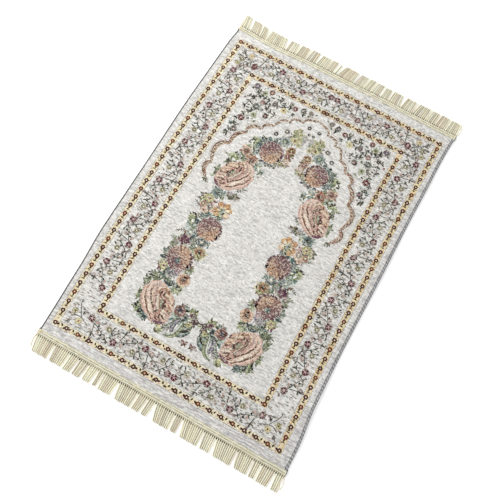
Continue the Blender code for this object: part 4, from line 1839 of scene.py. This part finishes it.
def overlock_motif(width):
    """One turn of yarn over the edge: X inwards from the side line, Y along, Z up."""
    top, low = STITCH_TOP, THREAD
    return tube("overlock_motif", [(
        (width, -2.4, top - 0.35), (width - 0.8, -2.1, top), (width * 0.5, -0.4, top + 0.12),
        (1.2, 1.4, top), (THREAD, 1.7, top - 0.8), (THREAD, 1.9, low + 0.8), (1.2, 2.1, low),
        (width * 0.5, 2.5, low), (width, 3.0, low + 0.2),
    )], THREAD)


def chain_motif(width):
    """A short link of the needle line that holds the turns, and one at the outer edge."""
    top = STITCH_TOP
    return tube("chain_motif", (
        ((width - 0.9, -1.2, top + 0.1), (width - 0.7, 0.0, top + 0.45), (width - 0.9, 1.2, top + 0.1)),
        ((0.3, -1.3, top - 0.4), (0.9, -0.2, top + 0.2), (0.2, 1.1, top - 1.0), (0.2, 1.6, top - 1.4)),
    ), CHAIN_THREAD)


def edge_mesh(name, side, motif, tints, seed):
    """Repeats a stitch along one side line, from heading to heading."""
    end = HALF_LENGTH - HEADING_LAP - SEW_GAP - STITCH_MARGIN
    count = int(2.0 * end * MM / settings()[0].stitch_pitch)
    spots, turns, colours = [], [], []
    draws = random.Random(seed)
    for index, v in enumerate(even(-end, end, count)):
        u = side * side_line(v, side)
        spots.append(placed(u, v, lift(u, v)))
        x, y = plan(u, v)
        ahead = plan(side * side_line(v + 1.0, side), v + 1.0)
        turns.append((0.0, 0.0, math.atan2(ahead[1] - y, ahead[0] - x) + side * math.pi / 2))
        colours.append(dimmed(tints[index % len(tints)], draws.uniform(0.85, 1.15)))
    finish = material("stitch_weave", yarn_finish, 0.85, 900.0)
    return repeated(name, motif, finish, 0.03, seed, spots, turn=turns, tint=colours)


class MakeOverlocks(bpy.types.Operator):
    """Make the overlock stitches along the two long sides"""

    bl_idname = "rug.make_overlocks"
    bl_label = "Overlocked sides"

    def execute(self, context):
        base = settings()[1].edge_yarn[:]
        for name, side, node, dark, pale in OVERLOCKS:
            width = OVERLOCK_WIDTHS[side]
            dark, pale = dimmed(base, dark), dimmed(base, pale)
            meshes = [
                edge_mesh(f"{name}_turns", side, overlock_motif(width), (dark, base, pale, pale), 21),
                edge_mesh(f"{name}_chain", side, chain_motif(width), (dark,), 22)]
            meshes += [loose_yarn(f"{name}_tail", side, end, (EDGE_TAIL,), TAIL_THREAD, dark)
                       for end in (NEAR, FAR)]
            piece = joined(name, meshes, bpy.data.materials["stitch_weave"])
            piece.data.shade_smooth()
            settle(piece, "edge_yarn", node)
        return {"FINISHED"}


def strand_roots(end, clumps):
    """Each strand as its place across at the root and at the tip, its length and its clump's middle."""
    v = end * HALF_LENGTH
    first = STRAND_MARGIN - side_line(v, LEFT)
    last = side_line(v, RIGHT) - STRAND_MARGIN
    places = even(first, last, sum(clump[0] for clump in clumps) - 1)
    strands = []
    start = 0
    for size, lean, length in clumps:
        members = places[start:start + size]
        middle = 0.5 * (members[0] + members[-1])
        for index, root in enumerate(members):
            tip = root + lean - CLUMP_SQUEEZE * (root - middle)
            uneven = STRAND_UNEVENNESS * ((start + index) * 5 % 7 / 3.0 - 1.0)
            strands.append((root, tip, length + uneven, middle))
        start += size
    return strands


# a cord's depth between its two plies, as a share of its radius, its step along and its sides
PLY_DEPTH = 0.18
CORD_STEP = 1.7 * MM
CORD_SIDES = 8


def cord_mesh(name, lines, sizes, finish):
    """Twisted cords along lines; a line is its points, swells, tint and phase."""
    spots, edges, swells, tints, phases = [], [], [], [], []
    for points, swell, tint, phase in lines:
        start, count = len(spots), len(points)
        spots += points
        edges += [(start + index, start + index + 1) for index in range(count - 1)]
        swells += swell
        tints += [tint] * count
        phases += [phase] * count
    mesh = new_mesh(f"{name}_lines", spots, edges, swell=swells, tint=tints, phase=phases)
    source = new_piece(f"{name}_source", mesh)
    result = cord_tree().run(source, {
        "Radius": sizes.cord_radius, "Ply Depth": PLY_DEPTH, "Pitch": sizes.cord_pitch, "Step": CORD_STEP,
        "Sides": CORD_SIDES, "Material": finish})
    drop(source)
    return result


# the cords between the pale ones, darkened as painted shade of the gaps: how thick they are, and where they
# come out beside them
SHADED_CORD_SWELL = 0.56
SHADED_CORD_START = 0.1
ROOT_START = -0.03  # a pale cord starts inside the heading, as a share of its length
SWAY = 0.8  # the most that a cord bows to a side
LEAN_POWER = 1.4  # a cord leans over late
PLY_REACH = 1.2  # how far the plies reach, as a share of the cord's mean radius
FLOOR_GAP = 0.05  # under a cord


def strand_line(draws, end, strand, radius, thick, tint):
    """One strand's points, swells, tint and phase."""
    root, tip, length, _ = strand
    points, swell = [], []
    sway = draws.uniform(-SWAY, SWAY) * thick
    for share in even(ROOT_START if thick == 1.0 else SHADED_CORD_START, 1.0, 9):
        along = max(share, 0.0)
        u = root + (tip - root) * along ** LEAN_POWER + sway * math.sin(math.pi * along)
        past = HEADING_END + length * share
        height = radius * thick * PLY_REACH / MM + FLOOR_GAP
        points.append(placed(u, end * (HALF_LENGTH + past), height))
        narrow = (0.62 + 0.38 * smooth(0.0, 0.2, along)) * (1.0 - 0.12 * along) if share < 1.0 else 0.75
        swell.append(thick * narrow)
    return points, swell, tint, draws.uniform(0.0, math.tau)


FAR_CONTRAST = 0.13  # between one cord of the far fringe and the next


def strand_lines(end, clumps, colours, radius):
    """The lines of a fringe: its pale cords, and thinner ones between them, darkened as painted shade."""
    draws = random.Random(31 + end)
    strands = strand_roots(end, clumps)
    fringe = colours.fringe[:]
    lines = []
    for index, strand in enumerate(strands):
        tint = mixed(fringe, yarn(draws.choice(("cream", "cream", "smoke+petal"))), 0.5)
        contrast = FAR_CONTRAST * (-1) ** (index + 1) if end == FAR else 0.0
        tint = dimmed(tint, draws.uniform(1.04, 1.3) * (1.0 + contrast))
        lines.append(strand_line(draws, end, strand, radius, 1.0, tint))
    for here, after in zip(strands, strands[1:]):
        gap = here[3] != after[3]
        if gap and (end == NEAR or draws.random() < 0.25):
            continue
        between = [0.5 * (a + b) for a, b in zip(here, after)]
        # inside a clump the cord between two pale ones is darkened as painted shade of the gap; between
        # clumps it stays pale
        tint = dimmed(fringe, draws.uniform(1.0, 1.25) if gap else draws.uniform(0.4, 0.85))
        lines.append(strand_line(draws, end, between, radius, SHADED_CORD_SWELL, tint))
    return lines


# heading braid: distance past the cut end, slant of its loops, height above the band, tone
BRAID_ROWS = (
    (-6.9, 0.7, 0.1, 0.9), (-4.4, 1.4, 0.4, 1.3), (-1.9, -0.6, 0.3, 0.72), (0.7, 1.4, 0.45, 1.3),
    (3, 0.7, -1.3, 0.94),
)
BRAID_PITCH = 2.7
BRAID_MARGIN = 1.5  # first and last loop, in from the side line
BRAID_RADIUS = 0.85
BRAID_PATCH = 3  # loops in a row that share a tone
LOOP_SINK = 0.3  # how far the loops sink into the band
BRAID_LOOP = ((-1.7, 0, -0.25), (-1, 0, 0.15), (0, 0, 0.3), (1, 0, 0.15), (1.7, 0, -0.25))
ROOT_SHADE_TAPE = 6.5  # the tape that the strands come out of, dark as painted shade
# low tones of the band are painted shade, darkest on its drop and on the tape between the strands' roots
# the band's outline: distance past the cut end, height above the underside or on the floor, tone
BAND_SECTION = (
    (-HEADING_LAP, CLOTH_THICKNESS + SEW_GAP, 0.6),
    (-HEADING_LAP + 0.3, HEADING_TOP, 0.8),
    (HEADING_END - 0.9, HEADING_TOP, 0.8),
    (HEADING_END, HEADING_TOP - 0.9, 0.7),
    (HEADING_END, 0.4, 0.14),
    (HEADING_END + ROOT_SHADE_TAPE, 0.4, 0.2),
    (HEADING_END + ROOT_SHADE_TAPE, None, 0.2),
    (SEW_GAP, None, 0.3),
    (SEW_GAP, CLOTH_THICKNESS + SEW_GAP, 0.3),
)
BAND_COLUMNS = 180
# the tape's varying dark tones are painted shade of the gaps between the strands' roots
ROOT_SHADE_TONE = (0.5, 3.4, 0.024)  # the tape's least tone, how much more it may have, and how fast it changes
PAINTED_SHADE_BELOW = 0.3  # a tone below this varies along the band, as the gaps between the strands do


def heading_base(end, colours):
    """The heading's flat band, lapped over the cloth and dropped to the floor."""
    draws = random.Random(51 + end)
    v = end * HALF_LENGTH
    count = len(BAND_SECTION)
    least, more, change = ROOT_SHADE_TONE
    points, tints = [], []
    for u in even(-side_line(v, LEFT), side_line(v, RIGHT), BAND_COLUMNS):
        # painted shade between the strands' roots, deeper in some places than in others
        gap = least + more * math.sin(change * u + end) ** 2 * draws.uniform(0.3, 1.0)
        for past, height, tone in BAND_SECTION:
            z = 0.0 if height is None else underside(u, v) + height
            points.append(placed(u, end * (HALF_LENGTH + past), z))
            tints.append(dimmed(colours.fringe[:], tone * gap if tone < PAINTED_SHADE_BELOW else tone))
    rings = [range(start, start + count) for start in range(0, len(points), count)]
    faces = []
    for here, there in zip(rings, rings[1:]):
        for index in range(count):
            after = (index + 1) % count
            faces.append((here[index], here[after], there[after], there[index])[::-end])
    faces += [tuple(rings[0])[::end], tuple(rings[-1])[::-end]]
    return new_mesh("heading_base", points, faces=faces, tint=tints)


def braid_mesh(end, colours, finish):
    """Rows of slanted loops over the heading."""
    draws = random.Random(41 + end)
    v = end * HALF_LENGTH
    first, last = BRAID_MARGIN - side_line(v, LEFT), side_line(v, RIGHT) - BRAID_MARGIN
    pale = mixed(colours.fringe[:], yarn("cream"), 0.6)
    spots, turns, tints = [], [], []
    for past, slant, height, tone in BRAID_ROWS:
        for index, u in enumerate(even(first, last, int((last - first) / BRAID_PITCH))):
            if index % BRAID_PATCH == 0:
                patch = draws.uniform(0.78, 1.16)
            z = underside(u, v) + HEADING_TOP + height - LOOP_SINK
            spots.append(placed(u, end * (HALF_LENGTH + past), z))
            turns.append((0.0, 0.0, math.pi / 2 + slant * end))
            tints.append(dimmed(pale, patch * tone * draws.uniform(0.85, 1.1)))
    motif = tube("braid_motif", [BRAID_LOOP], BRAID_RADIUS)
    return repeated("braid", motif, finish, 0.08, 9, spots, turn=turns, tint=tints)


# threads at the ends of a heading: distance in from the side line, distance past the cut end, height
LEFT_THREADS = (
    ((11, -6.6, 4.9), (4, -6.4, 4.8), (-0.6, -4, 3.9), (-1.2, 1.5, 1.9), (1, 6.5, 1.1), (5, 12, 0.9)),
    ((9, -4.2, 5), (4, -3.8, 4.8), (0.6, -1.5, 3.9), (0.4, 3.5, 1.7), (3, 9, 0.9), (6, 13, 0.9)),
    ((0.5, 3, 1), (-2.4, 11, 0.9), (-1.8, 24, 0.9), (2, 37, 0.9)),
)
RIGHT_THREADS = (
    ((4, 22, 0.9), (-0.5, 33, 0.9), (1.5, 45, 0.9)),
    ((2, 2, 1.2), (-2.6, 12, 0.9), (-5, 24, 0.9), (-3.4, 36, 0.9)),
)
EDGE_TAIL = ((-0.3, -12, 3), (-0.9, -6, 3), (-0.9, 0, 2.2), (0.2, 5, 1))


def loose_yarn(name, side, end, paths, radius, tint):
    """Single threads beside a heading's end."""
    edge = side_line(end * HALF_LENGTH, side)
    spots = [[(*plan(side * (edge - inward), end * (HALF_LENGTH + past)), max(height, radius + 0.02))
              for inward, past, height in smooth_path(path)] for path in paths]
    mesh = tube(name, spots, radius)
    store(mesh, "tint", [tint] * len(mesh.vertices))
    return mesh


class MakeFringes(bpy.types.Operator):
    """Make the two fringes: headings and twisted cords"""

    bl_idname = "rug.make_fringes"
    bl_label = "Fringes"

    def execute(self, context):
        sizes, colours = settings()
        finish = material("cord_weave", yarn_finish, 0.8, 700.0)
        cream = colours.fringe[:]
        for name, end, clumps, node in (("far_cords", FAR, FAR_CLUMPS, "far_fringe"),
                                        ("near_cords", NEAR, NEAR_CLUMPS, "near_fringe")):
            piece = joined(name, [
                cord_mesh(name, strand_lines(end, clumps, colours, sizes.cord_radius), sizes, finish),
                heading_base(end, colours),
                braid_mesh(end, colours, finish),
                loose_yarn("left_threads", LEFT, end, LEFT_THREADS, 1.0, mixed(cream, yarn("gold"), 0.4)),
                loose_yarn("right_threads", RIGHT, end, RIGHT_THREADS, 0.8, cream)], finish)
            piece.data.shade_smooth()
            piece.data.set_sharp_from_angle(angle=math.radians(60.0))
            settle(piece, "fringe_yarn", node)
        return {"FINISHED"}


CAMERA_PLACE = (0.1821, -0.5822, 1.7256)
CAMERA_AIM = (0.0091, -0.0622, 0.0)
CAMERA_ROLL = math.radians(11.06)
CAMERA_LENS = 50.76  # millimetres, on a sensor 36 wide
# place, size, power, colour
LAMPS = (
    ((-2, 0.6, 1.55), 1.4, 48, (1, 0.99, 0.97)),
    ((0.9, -0.9, 2.6), 2.4, 6, (0.98, 0.99, 1)),
)
FLOOR_HALF = 6.0
FLOOR_GLOW = 0.25
SKY_STRENGTH = 0.62
WHITE = (1.0, 1.0, 1.0, 1.0)


def aimed(direction, roll=0.0):
    """The rotation that points a lamp or a camera along a direction."""
    return direction.to_track_quat("-Z", "Y").to_matrix() @ Matrix.Rotation(roll, 3, "Z")


def put(name, data, place, turn):
    """Puts a lamp or a camera in the scene."""
    thing = bpy.data.objects.new(name, data)
    thing.matrix_world = Matrix.Translation(place) @ turn.to_4x4()
    bpy.context.scene.collection.objects.link(thing)
    return thing


class MakeStage(bpy.types.Operator):
    """Make the floor, the lights and the camera"""

    bl_idname = "rug.make_stage"
    bl_label = "Stage"

    def execute(self, context):
        scene = context.scene
        finish = Finish("floor_paint", 0.9)
        finish.shade({"Base Color": (*settings()[1].floor, 1.0), "Emission Color": WHITE,
                      "Emission Strength": FLOOR_GLOW})
        corners = [(x * FLOOR_HALF, y * FLOOR_HALF, 0.0) for x, y in ((-1, -1), (1, -1), (1, 1), (-1, 1))]
        new_piece("floor", new_mesh("floor", corners, faces=[(0, 1, 2, 3)]), finish.material)
        for index, (place, size, power, colour) in enumerate(LAMPS):
            light = bpy.data.lights.new(f"lamp_{index}", "AREA")
            light.shape = "SQUARE"
            light.size = size
            light.energy = power
            light.color = colour
            put(light.name, light, place, aimed(-Vector(place)))
        scene.world = bpy.data.worlds.new("studio")
        scene.world.use_nodes = True
        sky = Kit(scene.world.node_tree)
        sky.fill(sky.tree.nodes["Background"], {"Color": WHITE, "Strength": SKY_STRENGTH})
        scene.view_settings.view_transform = "Standard"
        lens = bpy.data.cameras.new("camera")
        lens.lens = CAMERA_LENS
        lens.sensor_width = 36.0
        turn = aimed(Vector(CAMERA_AIM) - Vector(CAMERA_PLACE), CAMERA_ROLL)
        scene.camera = put("camera", lens, CAMERA_PLACE, turn)
        return {"FINISHED"}


# the pieces that are woven in or sewn to the cloth
WITH_CLOTH = ("outer_guard", "outer_guard_blossoms", "inner_guard", "inner_guard_blossoms", "border_vine",
              "field_figures", "left_stitches", "right_stitches", "far_cords", "near_cords")


class DeclareCloth(bpy.types.Operator):
    bl_idname = "rug.declare_cloth"
    bl_label = "Declare the sheet"

    def execute(self, context):
        bpy.data.objects["woven_cloth"]
        [bpy.data.objects[name] for name in WITH_CLOTH]
        return {"FINISHED"}


class RugPanel(bpy.types.Panel):
    """Lists the rug's steps, sizes and colours"""

    bl_idname = "VIEW3D_PT_rug"
    bl_label = "Prayer rug"
    bl_space_type = "VIEW_3D"
    bl_region_type = "UI"
    bl_category = "Rug"

    def draw(self, context):
        for step in STEPS:
            self.layout.operator(step.bl_idname)
        for group in (context.scene.rug_sizes, context.scene.rug_colours):
            for name in group.__annotations__:
                self.layout.prop(group, name)


STEPS = (MakeStage, MakeCloth, MakeGuards, MakeVine, MakeField, MakeOverlocks, MakeFringes, DeclareCloth)
CLASSES = (RugSizes, RugColours, *STEPS, RugPanel)


def register():
    """Makes the operators, sizes and colours known to Blender."""
    for item in CLASSES:
        bpy.utils.register_class(item)
    bpy.types.Scene.rug_sizes = bpy.props.PointerProperty(type=RugSizes)
    bpy.types.Scene.rug_colours = bpy.props.PointerProperty(type=RugColours)


def unregister():
    """Takes them away again."""
    del bpy.types.Scene.rug_sizes
    del bpy.types.Scene.rug_colours
    for item in reversed(CLASSES):
        bpy.utils.unregister_class(item)


def main():
    register()
    for step in STEPS:
        group, name = step.bl_idname.split(".")
        getattr(getattr(bpy.ops, group), name)()


if __name__ == "__main__":
    main()
